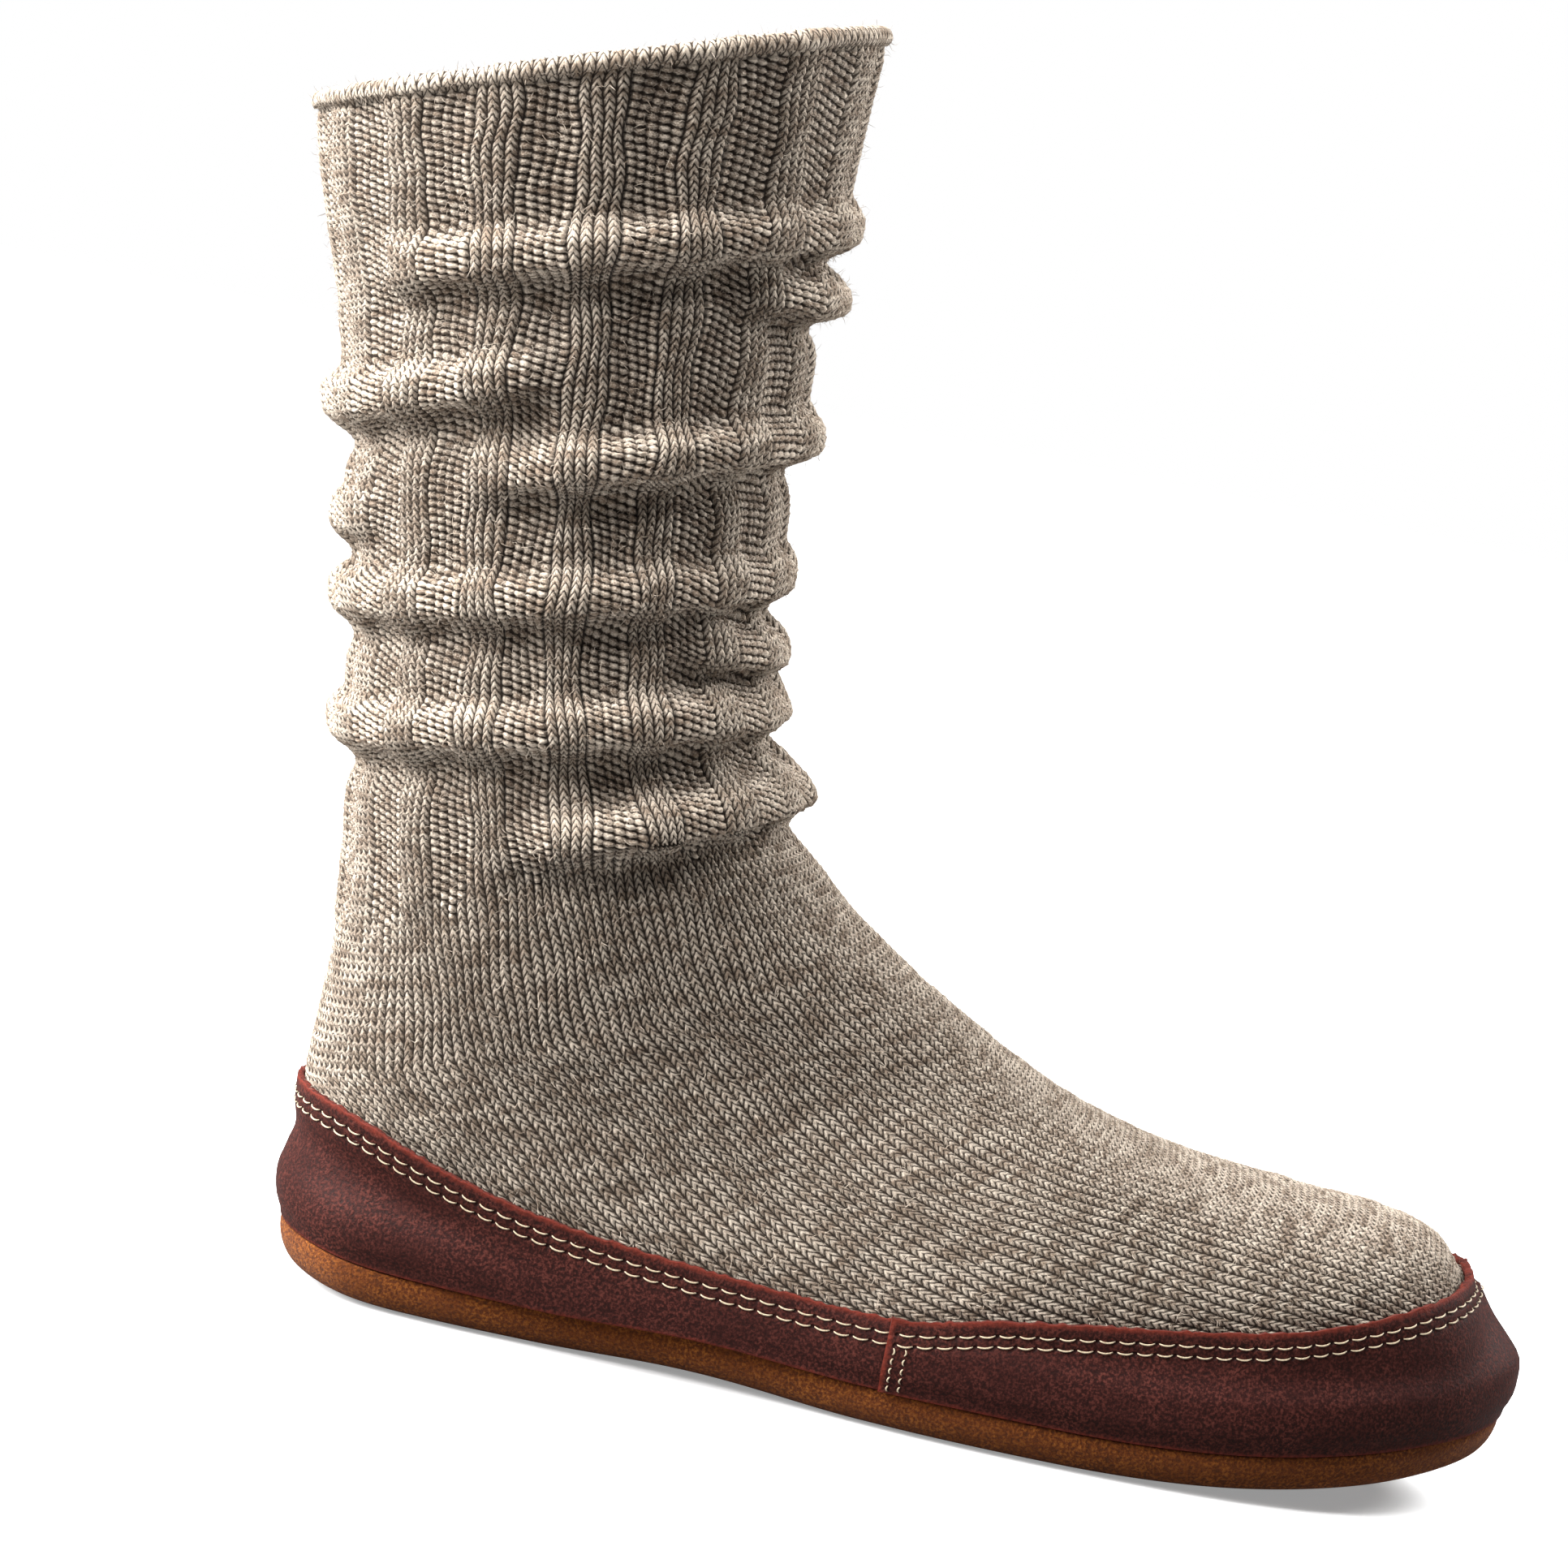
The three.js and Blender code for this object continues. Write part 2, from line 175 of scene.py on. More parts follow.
# Upper edge of the rand: x, z
RAND_EDGE = (
    (-110, 44),
    (-92, 43.5),
    (-76, 41),
    (-54, 34.5),
    (-28, 29),
    (6, 26),
    (44, 25),
    (70, 30),
    (98, 34),
    (126, 38),
    (148, 44),
    (167, 51),
    (190, 58),
)
SEAM_X = 44
SEAM_LAP = 4  # how far the heel piece reaches under the toe piece
OUTLINE_STEPS = 480  # columns of leather round the foot
LEATHER_WALL = 0.85  # part of the leather's thickness that is made, clear of the knit
LEATHER_ROUND = 0.3  # rounding of the cut edges
LAP_RISE = 0.55  # how far the toe piece stands out at the lap, and how far ahead that reaches
LAP_REACH = 9
CORNER_RISE = 0.9  # more of it at the upper corner, with its reach ahead and down
CORNER_REACH = (4, 3)
CUP_X = (10, 80)  # distances behind the middle between which the heel's cup grows
CUP_SPREAD = 4.5
WAIST = 1.7  # how far the heel draws in, and how far below the upper edge
WAIST_DEPTH = 11
HEEL_SWELL = 0.5  # how far the heel stands out, and how far above the outsole
SWELL_HEIGHT = 8

# Stitching of the rand
STITCH_ROWS = (3.2, 5.5)  # below the upper edge
STITCH_LENGTH = 3.3
STITCH_SAG = 0.34  # how far a stitch hangs between its ends
STITCH_LIFT = 0.36  # how far its middle stands over its ends, which sink into the leather
STITCH_SINK = 0.2
STITCH_SWELL = (0.7, 0.95, 1, 1, 1, 0.95, 0.7)  # thickness along a stitch, ring by ring
STITCH_SIDES = 6
SEAM_ROWS = (1.9, 4.4)  # ahead of the toe piece's back edge
SEAM_PITCH = 2.1
SEAM_STITCH = 1.5
SEAM_ENDS = (1.4, 0.8)  # free leather above and below an upright row
HOLE_RADII = (0.2, 0.6)  # of a needle hole's dark middle of painted shade, and of its outer edge
DENT_DEPTH = 0.22  # groove along a stitch row
DENT_WIDTH = 0.6
RAGGED = 0.3  # unevenness of the upper edge, and how far down it reaches
RAGGED_REACH = 0.6
SOLE_EDGE_WEAR = 0.5  # the lower edge is worn as if it lay this far off

# Knit
WALES = 144
PLAIN_WALES = 4  # of each rib, and then the reverse ones
REVERSE_WALES = 5
COLUMNS_IN_WALE = 4
ROWS_IN_COURSE = 3
SHAFT_COURSES = 110
FOOT_COURSES = 108
MAP_START = 200  # course number at the collar in the knit's map, so that none is below zero
LEG_SLANT = 1.05  # courses that a plain stitch's leg falls from the wale's middle to its side
LEG_ROUND = 2.4
LEG_SEAM = 0.84  # height where the two legs meet, and the part of a leg's width over which it rises
LEG_SEAM_SPAN = 0.25
LEG_GAP = 0.14  # height between a leg and the next one below
LEG_FULL = 0.65
LEG_FIBRES = (9.0, 2.4)  # fibres across a course of legs, and along a leg
BUMP_WIDTH = 1.3  # half size of a reverse stitch's bump, in half wales and in courses
BUMP_HEIGHT = 0.5
BUMP_SLANT = 0.2
BUMP_FIBRES = (7.0, 1.8)
YARN_STEP = 3.7  # keeps the fibres of neighbouring legs unlike
RIB_DROP = 6  # courses that the ribs reach lower at the back, and the angles between which they do
RIB_DROP_TURN = (85, 150)
RIB_LENGTH = 7  # courses that the ribs go on below the shaft
RIB_TAPER = 8  # courses over which a reverse rib narrows to its end
RIB_WIDTHS = ((0.7, 0.5), (0.4, 0.3), (0.12, 0.1))  # share of the taper, and the half width above it
RIB_RISE = (0.2, 0.8)  # shares of the taper between which a rib gains its height
RIB_SHADE = 0.2  # painted shade: how much deeper and darker the reverse ribs look
RIM_COURSES = 0.7  # the ribs start this many courses below the rim
RIM_START = 1.5  # the first course lies this many bead radii below the collar
RIM_TURN = (208, -35)  # degrees that the rim rolls over, from the inside to the outside
RIM_COURSE = 2.1  # arc of the rim for one course
RIM_ROWS = 8  # rows of the shaft that give the rim its direction
RIM_PROUD = 0.75  # how far the rim stands out, in bead radii
RIM_RIB = 0.1  # part of the rib's height that is left on the rim, and of the stitches' relief
RIM_RELIEF = 0.25
RIM_FADE = (-1.0, 2.5)  # courses between which the rim turns into the shaft
RIM_SHINE = 0.42  # painted light: how much lighter the rim's stitches look, with less painted shade in their hollows
ROLL_EASE = 0.55  # part of the rib's height that is lost on a roll
ROLL_SWELL = (1.0, 4.0)  # how far the knit stands out where a roll starts and where it is full
# painted light: how much lighter the knit looks on a roll, with less painted shade in its hollows
ROLL_SHINE = 0.2
STITCH_LEAST = 0.8  # size of a stitch, from the least by chance up
STITCH_RANGE = 0.4
STITCH_MIDDLE = 0.55  # height in a stitch that lies on the smooth surface
LOOSE_SIZE = 0.5  # unevenness from patch to patch
LOOSE_PATCH = (2, 3)  # wales and courses
LOOSE_SHIFT = 7  # wales that the patches are moved by
CHANCE_ROWS = 97  # courses after which the chances come again, for stitches and for patches
LOOSE_ROWS = 89
YARN_LIKENESS = 0.7  # how far a stitch takes after its neighbour along the yarn
WALE_SWAYS = ((0.26, 0.24, 0.37), (0.14, 0.59, -0.6))  # size in wales, turn by course, turn by wale
SWAY_POWER = 0.3
PRESS_AT_RAND = 0.3  # how far the rand presses the knit in, and how far above its edge
PRESS_FADE = 4.0
HIDDEN_DEPTH = 5  # the knit ends this far below the rand's edge
TOE_DOME = 3.2
TOE_FACING = (0.95, 0, 0.3)

# Loose hairs
HAIR_LENGTH = (0.8, 3.2)
HAIR_RISE = (0.25, 1.0)
HAIR_LEAN = 0.5
HAIR_CURL = 0.7
HAIR_HALF_WIDTH = 0.04

# Steps of the curves that are measured before they are divided
RING_STEPS = 721
SHAFT_STEPS = 500
FOOT_STEPS = 240
EDGE_STEPS = 400
KNOT_STEPS = 60
TIP_STEPS = 72
TREE_STEPS = (150, 220)

SHAFT_PIECES = ("knit_shaft_top", "knit_shaft_middle", "knit_shaft_low")
FOOT_PIECES = ("knit_foot_outer", "knit_foot_inner")

# Surfaces; the scales of grain count per metre
NOISE_SPAN = (0.35, 0.65)  # where most values of a noise lie
WOOL_MARL = 650.0  # grain of the change from ply to ply, and of the fuzz
WOOL_FUZZ = 2600.0
FUZZ_SIZE = 0.85  # how far the fuzz breaks up the fibres
TONE_WEIGHT = 1.2  # a stitch's own tone against the marl
PLY_CHANGE = (0.65, 1.5)  # where the dark ply turns into the light one
FIBRE_MARL = 2.2  # how far single fibres change the ply, and how far they stand over the hollows
FIBRE_LIFT = 0.7
HOLLOW_SHADE_SPAN = (0.38, 0.98)  # heights in a stitch over which the painted shade of the hollows fades, from its most
HOLLOW_SHADE_MOST = 0.98
SKIN_GRAIN = 1500.0  # grain of leather and suede, then their patches and specks
LEATHER_SKIN = {"Grain_Scale": SKIN_GRAIN, "Patch_Scale": 80.0, "Specks": 0.8}
SUEDE_SKIN = {"Grain_Scale": SKIN_GRAIN, "Patch_Scale": 90.0, "Specks": 0.9}
GRAIN_SPAN = (0.3, 0.7)  # over which patches show, and over which leather roughens
SPECK_SPAN = (0.48, 0.64)  # the light end of the grain, and how much of it shows between the patches
SPECK_LEAST = 0.35
SHADE_SPAN = (0.5, 0.36)  # the dark end of the grain, and its most
SHADE_MOST = 0.85
LEATHER_ROUGHNESS = (0.5, 0.72)
EDGE_GRAIN = 900.0  # of the worn edge, which wanders by this many millimetres
EDGE_WANDER = 2.4
EDGE_REACH = 4.0  # distances from the edge count up to here
EDGE_SPAN = (-1.1, 0.1)  # where the wear fades, from its most
EDGE_MOST = 0.8
HOLE_SHADE_MOST = 0.7  # painted shade: darkness of a needle hole, and its depth against the grain
HOLE_DEPTH = 2.0
FELT_SHADE = 0.55  # dark fibres of the felt against its colour

# Camera, from the photograph: pixels of a square image
PHOTO_SIZE = 1932
PHOTO_PIXELS_PER_MM = 5.7
CAMERA_PLACE = (0, -1080, 262)
CAMERA_TARGET = (0, 0, 126)
CAMERA_ROLL = 11.5
SENSOR = 36

# Floor and lights, in metres
FLOOR_SIZE = 8
FLOOR_BOUNCE = 0.28  # part of the floor's paleness that lights the shoe from below
FLOOR_FADE = (0.17, 0.55)  # distances from the shoe's middle between which the floor turns white
FLOOR_MOTTLE = 0.985
LIGHT_TARGET = (0, 0, 0.12)
LIGHTS = (  # name, setting of its power, place, size
    ("key_left", "key", (-1.55, -0.34, 1.25), 1.9),
    ("rim_right", "rim", (1.0, 0.5, 0.9), 0.6),
    ("top_soft", "top", (0.3, -0.4, 1.55), 0.5),
)

FRAME_SHIFT = np.array([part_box("outsole")[0].x / MM - (HEEL_BACK_X + OUTSOLE_INSET), 0, 0])


def srgb(red, green, blue):
    """Linear colour of an 8-bit screen colour."""
    parts = (value / 255 for value in (red, green, blue))
    return tuple(p / 12.92 if p <= 0.04045 else ((p + 0.055) / 1.055) ** 2.4 for p in parts)


def length_setting(name, description, size):
    """Setting of a length that is given in millimetres."""
    return FloatProperty(
        name=name, description=description, default=size * MM, unit="LENGTH", precision=5)


def colour_setting(name, description, *levels):
    """Setting of a colour that is given in 8-bit screen levels."""
    return FloatVectorProperty(
        name=name, description=description, default=srgb(*levels), subtype="COLOR")


class SlipperKnit(bpy.types.PropertyGroup):
    """Sizes and colours of the knitted upper"""

    course: length_setting("Course height", "Height of one row of stitches on the foot", 1.85)
    relief: length_setting("Stitch relief", "How far the legs of the stitches stand out", 1.05)
    rib: length_setting("Rib height", "Step between the plain and the reverse wales of a rib", 1.5)
    rim: length_setting("Rim", "Thickness of the rolled edge at the collar", 4.6)
    hairs: IntProperty(
        name="Hairs", description="Loose wool hairs on the surface", default=26000, min=0)
    light: colour_setting("Light yarn", "Colour of the light ply", 222, 207, 189)
    dark: colour_setting("Dark yarn", "Colour of the brown grey ply", 146, 127, 109)
    # painted shade: dark colour laid into the hollows between the stitches
    hollow_shade: colour_setting("Hollows", "Colour between the stitches", 46, 35, 26)


class SlipperLeather(bpy.types.PropertyGroup):
    """Sizes and colours of the rand and its stitching"""

    heel_thickness: length_setting("Heel leather", "Thickness of the heel piece", 1.7)
    toe_thickness: length_setting(
        "Toe leather", "Thickness of the toe piece, which laps over the heel piece", 2.2)
    stitch_pitch: length_setting("Stitch pitch", "Distance from stitch to stitch", 4.2)
    thread: length_setting("Thread", "Thickness of the sewing thread", 0.38)
    base: colour_setting("Leather", "Main colour of the leather", 48, 21, 18)
    speck: colour_setting("Rubbed specks", "Colour where the surface is rubbed light", 90, 47, 40)
    shade: colour_setting("Dark grain", "Colour of the dark grain", 30, 15, 13)
    edge: colour_setting("Cut edge", "Colour of the raw edge", 112, 45, 34)
    # painted shade inside the needle holes
    hole_shade: colour_setting("Needle holes", "Colour inside the needle holes", 14, 7, 6)
    cotton: colour_setting("Thread colour", "Colour of the sewing thread", 192, 176, 148)
    cotton_shade: colour_setting("Thread shade", "Colour in the thread's twist", 160, 142, 114)


class SlipperSole(bpy.types.PropertyGroup):
    """Colours of the outsole and the insole"""

    suede: colour_setting("Suede", "Main colour of the outsole", 95, 47, 16)
    suede_dark: colour_setting("Suede specks", "Dark specks in the nap", 68, 36, 16)
    suede_light: colour_setting("Suede tips", "Light tips of the nap", 140, 82, 32)
    felt: colour_setting("Felt", "Colour of the insole's wool felt", 190, 176, 156)


class SlipperStage(bpy.types.PropertyGroup):
    """Floor and light"""

    floor: FloatVectorProperty(
        name="Floor", description="Colour of the floor", subtype="COLOR", default=(0.85, 0.85, 0.85))
    glow: FloatProperty(
        name="Floor glow", description="Light of the floor itself beside the shoe", default=0.3)
    key: FloatProperty(
        name="Key light", description="Power of the light from the left", default=222, unit="POWER")
    rim: FloatProperty(
        name="Rim light", description="Power of the light from the right", default=28, unit="POWER")
    top: FloatProperty(
        name="Top light", description="Power of the light from above", default=13, unit="POWER")
    sky: FloatProperty(
        name="Surroundings", description="Strength of the light from all round", default=0.035)


def smooth_step(value, low, high):
    share = np.clip((value - low) / (high - low), 0, 1)
    return share * share * (3 - 2 * share)


def signed_power(value, power):
    return np.sign(value) * np.abs(value) ** power


def unit(vectors):
    return vectors / np.maximum(np.linalg.norm(vectors, axis=-1, keepdims=True), 1e-12)


def smooth_run(rows, share):
    """Even curve through the rows of a table, at shares of its run from 0 to 1."""
    rows = np.asarray(rows, float)
    ends = np.vstack([2 * rows[0] - rows[1], rows, 2 * rows[-1] - rows[-2]])
    place = np.clip(share, 0, 1) * (len(rows) - 1)
    first = np.minimum(place.astype(int), len(rows) - 2)
    t = (place - first)[..., None]
    a, b, c, d = (ends[first + k] for k in range(4))
    return b + 0.5 * t * (c - a + t * (2 * a - 5 * b + 4 * c - d + t * (3 * (b - c) + d - a)))


def sole_lift(x):
    """Height of the sole line over the floor."""
    arch = np.clip((x - ARCH_X[0]) / (ARCH_X[1] - ARCH_X[0]), 0, 1)
    toe = np.maximum(0, (x - SPRING_START_X) / (TOE_TIP[0] - SPRING_START_X))
    heel = np.maximum(0, (HEEL_SPRING_X - x) / (HEEL_SPRING_X - HEEL_BACK_X))
    return ARCH_RISE * np.sin(math.pi * arch) ** 2 + TOE_SPRING * toe**2 + HEEL_SPRING * heel**2


def rand_edge(x):
    """Height of the rand's upper edge."""
    run = smooth_run(RAND_EDGE, np.linspace(0, 1, EDGE_STEPS))
    return np.interp(x, run[:, 0], run[:, 1])


def fold_rise(angle, z):
    """How far the slouch folds stand out."""
    total = np.zeros(np.broadcast(angle, z).shape)
    for level, slope, middle, span, rise, height in FOLDS:
        turn = np.abs((angle - middle + 180) % 360 - 180)
        ends = 1.0 if span >= 180 else smooth_step(span - turn, 0, FOLD_FADE)
        step = (z - level - slope * np.cos(np.radians(angle))) / (FOLD_SIZE * height)
        bulge = np.exp(-np.abs(step) ** FOLD_ROUND)
        tuck = FOLD_TUCK * np.exp(-(((step + TUCK_PLACE) / TUCK_SIZE) ** 2))
        total += rise * ends * (bulge - tuck)
    return total


def sock_points(share, angle, offset=0.0, fold_share=1.0):
    """Points of the sock's surface at shares of its run and angles, moved out by an offset."""
    share, angle = np.broadcast_arrays(np.asarray(share, float), np.asarray(angle, float))
    front_x, front_z, back_x, back_z, half_width, shift, roundness = np.moveaxis(
        smooth_run(SECTIONS, share), -1, 0)
    up_x, up_z = (front_x - back_x) / 2, (front_z - back_z) / 2
    half_height = np.hypot(up_x, up_z)
    up_x, up_z = up_x / half_height, up_z / half_height
    turn = np.radians(angle)
    across = signed_power(np.cos(turn), roundness)
    sideways = signed_power(np.sin(turn), roundness)
    level = (front_z + back_z) / 2 + up_z * half_height * across
    out = offset + fold_share * FOLD_SWELL * fold_rise(angle, level)
    drop = FOLD_DROP * np.maximum(0, out - offset)
    x = (front_x + back_x) / 2 + up_x * (half_height + out) * across
    x = x + out * smooth_step(share, TOE_SHARE, 1)
    z = (front_z + back_z) / 2 + up_z * (half_height + offset) * across - drop
    y = shift - (half_width + out) * sideways
    return np.stack([x, y, z], axis=-1)


def grid_normals(points, closed):
    """Outward directions of a grid of surface points: rows run down, columns run round."""
    down = np.gradient(points, axis=0)
    if closed:
        ring = points[:, :-1]
        round_about = np.roll(ring, -1, axis=1) - np.roll(ring, 1, axis=1)
        round_about = np.concatenate([round_about, round_about[:, :1]], axis=1)
    else:
        round_about = np.gradient(points, axis=1)
    return unit(np.cross(round_about, down))


def wale_angles(shares, wales):
    """Angles of a grid of wales, from equal widths round the sock measured from the front."""
    turn = np.linspace(-180, 180, RING_STEPS)
    half = len(turn) // 2
    angles = np.empty(wales.shape)
    pitch = None
    for i, share in enumerate(shares):
        ring = sock_points(np.full(turn.shape, share), turn, fold_share=0.0)
        length = np.concatenate([[0], np.cumsum(np.linalg.norm(np.diff(ring, axis=0), axis=1))])
        length -= length[half]
        if share <= EVEN_WALES or pitch is None:
            pitch = (length[-1] - length[0]) / WALES
        angles[i] = np.interp(wales[i] * pitch, length, turn)
    return angles


def wale_sway(wale, course):
    """Slow sideways sway of the wales, which is nothing at the seam behind and in front."""
    sway = sum(
        size * np.sin(by_course * course + by_wale * wale) for size, by_course, by_wale in WALE_SWAYS)
    return sway * np.abs(np.sin(2 * math.pi * wale / WALES)) ** SWAY_POWER


def stitch_chance(wale, course, rows, seed):
    """Seeded value from 0 to 1 for each stitch, alike in neighbours along the yarn."""
    dice = np.random.RandomState(seed).random_sample((rows, WALES))
    dice = (dice + YARN_LIKENESS * np.roll(dice, 1, axis=1)) / (1 + YARN_LIKENESS)
    return dice[np.floor(course).astype(int) % rows, np.floor(wale).astype(int) % WALES]


def stitch_relief(wale, course, ribbed):
    """Height of the knit from 0 in the hollows to 1 on the yarn, the reverse mask and the rib's rise.

    Plain stitches are two slanted legs that meet above; reverse ones are bumps laid like bricks.
    """
    side = 2 * np.abs(wale - np.floor(wale) - 0.5)
    within = (course + 0.5 * (np.floor(wale) % 2)) % 1
    phase = (course - LEG_SLANT * side) % 1
    cord = np.sqrt(1 - side**LEG_ROUND)
    cord = cord * (LEG_SEAM + (1 - LEG_SEAM) * np.sqrt(np.minimum(side / LEG_SEAM_SPAN, 1)))
    plain = cord * (LEG_GAP + (1 - LEG_GAP) * np.sin(math.pi * phase) ** LEG_FULL)
    brick = (wale % 1 - 0.5) * 2
    level = (within - 0.5 + BUMP_SLANT * brick) / BUMP_HEIGHT
    bump = np.sqrt(np.maximum(0, 1 - (brick / BUMP_WIDTH) ** 2 - level**2))
    place = (wale + PLAIN_WALES) % (PLAIN_WALES + REVERSE_WALES)
    turn = np.where(place < PLAIN_WALES, place / PLAIN_WALES, 1 + (place - PLAIN_WALES) / REVERSE_WALES)
    shares, widths = zip(*RIB_WIDTHS)
    width = np.select([ribbed > share for share in shares], widths, 0.0)
    reverse = ((np.abs(turn - 1.5) < width) & (course > RIM_COURSES)).astype(float)
    dome = np.abs(np.sin(math.pi * turn)) ** 0.5
    rise = np.where(turn < 1, dome, -dome) * smooth_step(ribbed, *RIB_RISE)
    return np.where(reverse > 0, bump, plain), reverse, rise


def select_only(piece):
    bpy.ops.object.select_all(action="DESELECT")
    piece.select_set(True)
    bpy.context.view_layer.objects.active = piece


def apply_modifiers(piece):
    select_only(piece)
    for modifier in list(piece.modifiers):
        bpy.ops.object.modifier_apply(modifier=modifier.name)


def vectors(rows, name):
    """Array of one vector property of all rows of a Blender collection."""
    flat = np.empty(len(rows) * 3, np.float32)
    rows.foreach_get(name, flat)
    return flat.reshape(-1, 3)


def shoe_places(mesh):
    """Places of a mesh's vertices in millimetres of the shoe's own frame."""
    return vectors(mesh.vertices, "co") / MM - FRAME_SHIFT


def frame_places(points):
    """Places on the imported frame, in metres, of points in millimetres."""
    return (np.asarray(points) + FRAME_SHIFT) * MM


def grid_piece(name, points, uv, attributes=(), closed=False):
    """Grid primitive laid onto an array of points in millimetres, with rows down and columns round."""
    rows, columns = points.shape[0] - 1, points.shape[1] - 1
    bpy.ops.object.select_all(action="DESELECT")
    bpy.ops.mesh.primitive_grid_add(x_subdivisions=columns, y_subdivisions=rows, size=1)
    piece = bpy.context.object
    piece.name = name
    mesh = piece.data
    mesh.name = name
    flat = vectors(mesh.vertices, "co")
    column = np.rint((flat[:, 0] + 0.5) * columns).astype(int)
    row = np.rint((flat[:, 1] + 0.5) * rows).astype(int)
    placed = frame_places(points[row, column])
    mesh.vertices.foreach_set("co", placed.astype(np.float32).ravel())
    corner = np.empty(len(mesh.loops), np.int32)
    mesh.loops.foreach_get("vertex_index", corner)
    mesh.uv_layers[0].data.foreach_set("uv", uv[row, column][corner].astype(np.float32).ravel())
    for label, values in attributes:
        layer = mesh.attributes.new(label, "FLOAT", "POINT")
        layer.data.foreach_set("value", values[row, column].astype(np.float32).ravel())
    mesh.update()
    if closed:
        bpy.ops.object.mode_set(mode="EDIT")
        bpy.ops.mesh.select_all(action="SELECT")
        bpy.ops.mesh.remove_doubles(threshold=WELD)
        bpy.ops.object.mode_set(mode="OBJECT")
    bpy.ops.object.shade_smooth()
    return piece


def delete_where(piece, hidden):
    """Deletes the vertices whose places in millimetres the given test picks out."""
    select_only(piece)
    mesh = piece.data
    picked = hidden(shoe_places(mesh))
    bpy.ops.object.mode_set(mode="EDIT")
    bpy.ops.mesh.select_mode(type="VERT")
    bpy.ops.mesh.select_all(action="DESELECT")
    bpy.ops.object.mode_set(mode="OBJECT")
    mesh.vertices.foreach_set("select", picked)
    bpy.ops.object.mode_set(mode="EDIT")
    bpy.ops.mesh.delete(type="VERT")
    bpy.ops.object.mode_set(mode="OBJECT")


def joined_piece(name, points, faces):
    """One mesh of many small things, from arrays of points in millimetres and faces."""
    mesh = bpy.data.meshes.new(name)
    mesh.from_pydata(frame_places(points).tolist(), [], faces.tolist())
    mesh.update()
    piece = bpy.data.objects.new(name, mesh)
    bpy.context.collection.objects.link(piece)
    select_only(piece)
    bpy.ops.object.shade_smooth()
    return piece


def finish_piece(piece, node, *materials):
    """Hands a piece to the frame: it rides on the one body and stands for its node."""
    for material in materials:
        piece.data.materials.append(material)
    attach(piece, "root")
    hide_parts(node)
    return piece


def add_node(tree, kind, inputs=(), **settings):
    """New shader node with its settings and its unlinked inputs."""
    made = tree.nodes.new(kind)
    for name, value in settings.items():
        setattr(made, name, value)
    for name, value in dict(inputs).items():
        made.inputs[name].default_value = value
    return made


def new_material(name, **constants):
    """Material with a Principled shader, its constant sockets set."""
    material = bpy.data.materials.new(name)
    material.use_nodes = True
    tree = material.node_tree
    shader = tree.nodes["Principled BSDF"]
    for socket, value in constants.items():
        shader.inputs[socket.replace("_", " ")].default_value = value
    return material, tree, shader


def new_group(name, inputs, outputs):
    """Shader node group with named sockets."""
    group = bpy.data.node_groups.new(name, "ShaderNodeTree")
    for label, kind, default in inputs:
        socket = group.interface.new_socket(label, in_out="INPUT", socket_type=kind)
        if default is not None:
            socket.default_value = default
    for label, kind in outputs:
        group.interface.new_socket(label, in_out="OUTPUT", socket_type=kind)
    return group, group.nodes.new("NodeGroupInput"), group.nodes.new("NodeGroupOutput")


def rgba(colour):
    return (*colour, 1.0)


def mixed_colour(tree, factor, first, second):
    """Mix of two colours, each a socket or a plain colour, by a factor socket."""
    mix = add_node(tree, "ShaderNodeMix", data_type="RGBA")
    tree.links.new(factor, mix.inputs["Factor"])
    for slot, value in ((6, first), (7, second)):
        if isinstance(value, bpy.types.NodeSocket):
            tree.links.new(value, mix.inputs[slot])
        else:
            mix.inputs[slot].default_value = value
    return mix.outputs[2]


def worked(tree, operation, *values):
    """Output of a Math node, with sockets or numbers as its values."""
    maths = add_node(tree, "ShaderNodeMath", operation=operation)
    for slot, value in enumerate(values):
        if isinstance(value, bpy.types.NodeSocket):
            tree.links.new(value, maths.inputs[slot])
        else:
            maths.inputs[slot].default_value = value
    return maths.outputs[0]


def ranged(tree, value, low, high, to_low=0.0, to_high=1.0):
    """Output of a Map Range node."""
    made = add_node(tree, "ShaderNodeMapRange", {
        "From Min": low, "From Max": high, "To Min": to_low, "To Max": to_high})
    tree.links.new(value, made.inputs["Value"])
    return made.outputs["Result"]


def noise(tree, vector, scale, detail=3.0, roughness=0.55):
    """Factor output of a Noise Texture node; on Object places its scale counts per metre."""
    made = add_node(tree, "ShaderNodeTexNoise", {
        "Scale": scale, "Detail": detail, "Roughness": roughness})
    tree.links.new(vector, made.inputs["Vector"])
    return made.outputs["Fac"]


def object_place(tree):
    return tree.nodes.new("ShaderNodeTexCoord").outputs["Object"]


def spread(tree, value, size):
    """Value from 0 to 1 turned into one about nothing, of the given size."""
    return worked(tree, "MULTIPLY_ADD", value, size, -size / 2)


def surfaced(tree, shader, colour, height, depth):
    """Colour socket into a shader, and a bump of a depth in millimetres from a height socket."""
    tree.links.new(colour, shader.inputs["Base Color"])
    bump = add_node(tree, "ShaderNodeBump", {"Strength": 1.0, "Distance": depth * MM})
    tree.links.new(height, bump.inputs["Height"])
    tree.links.new(bump.outputs["Normal"], shader.inputs["Normal"])


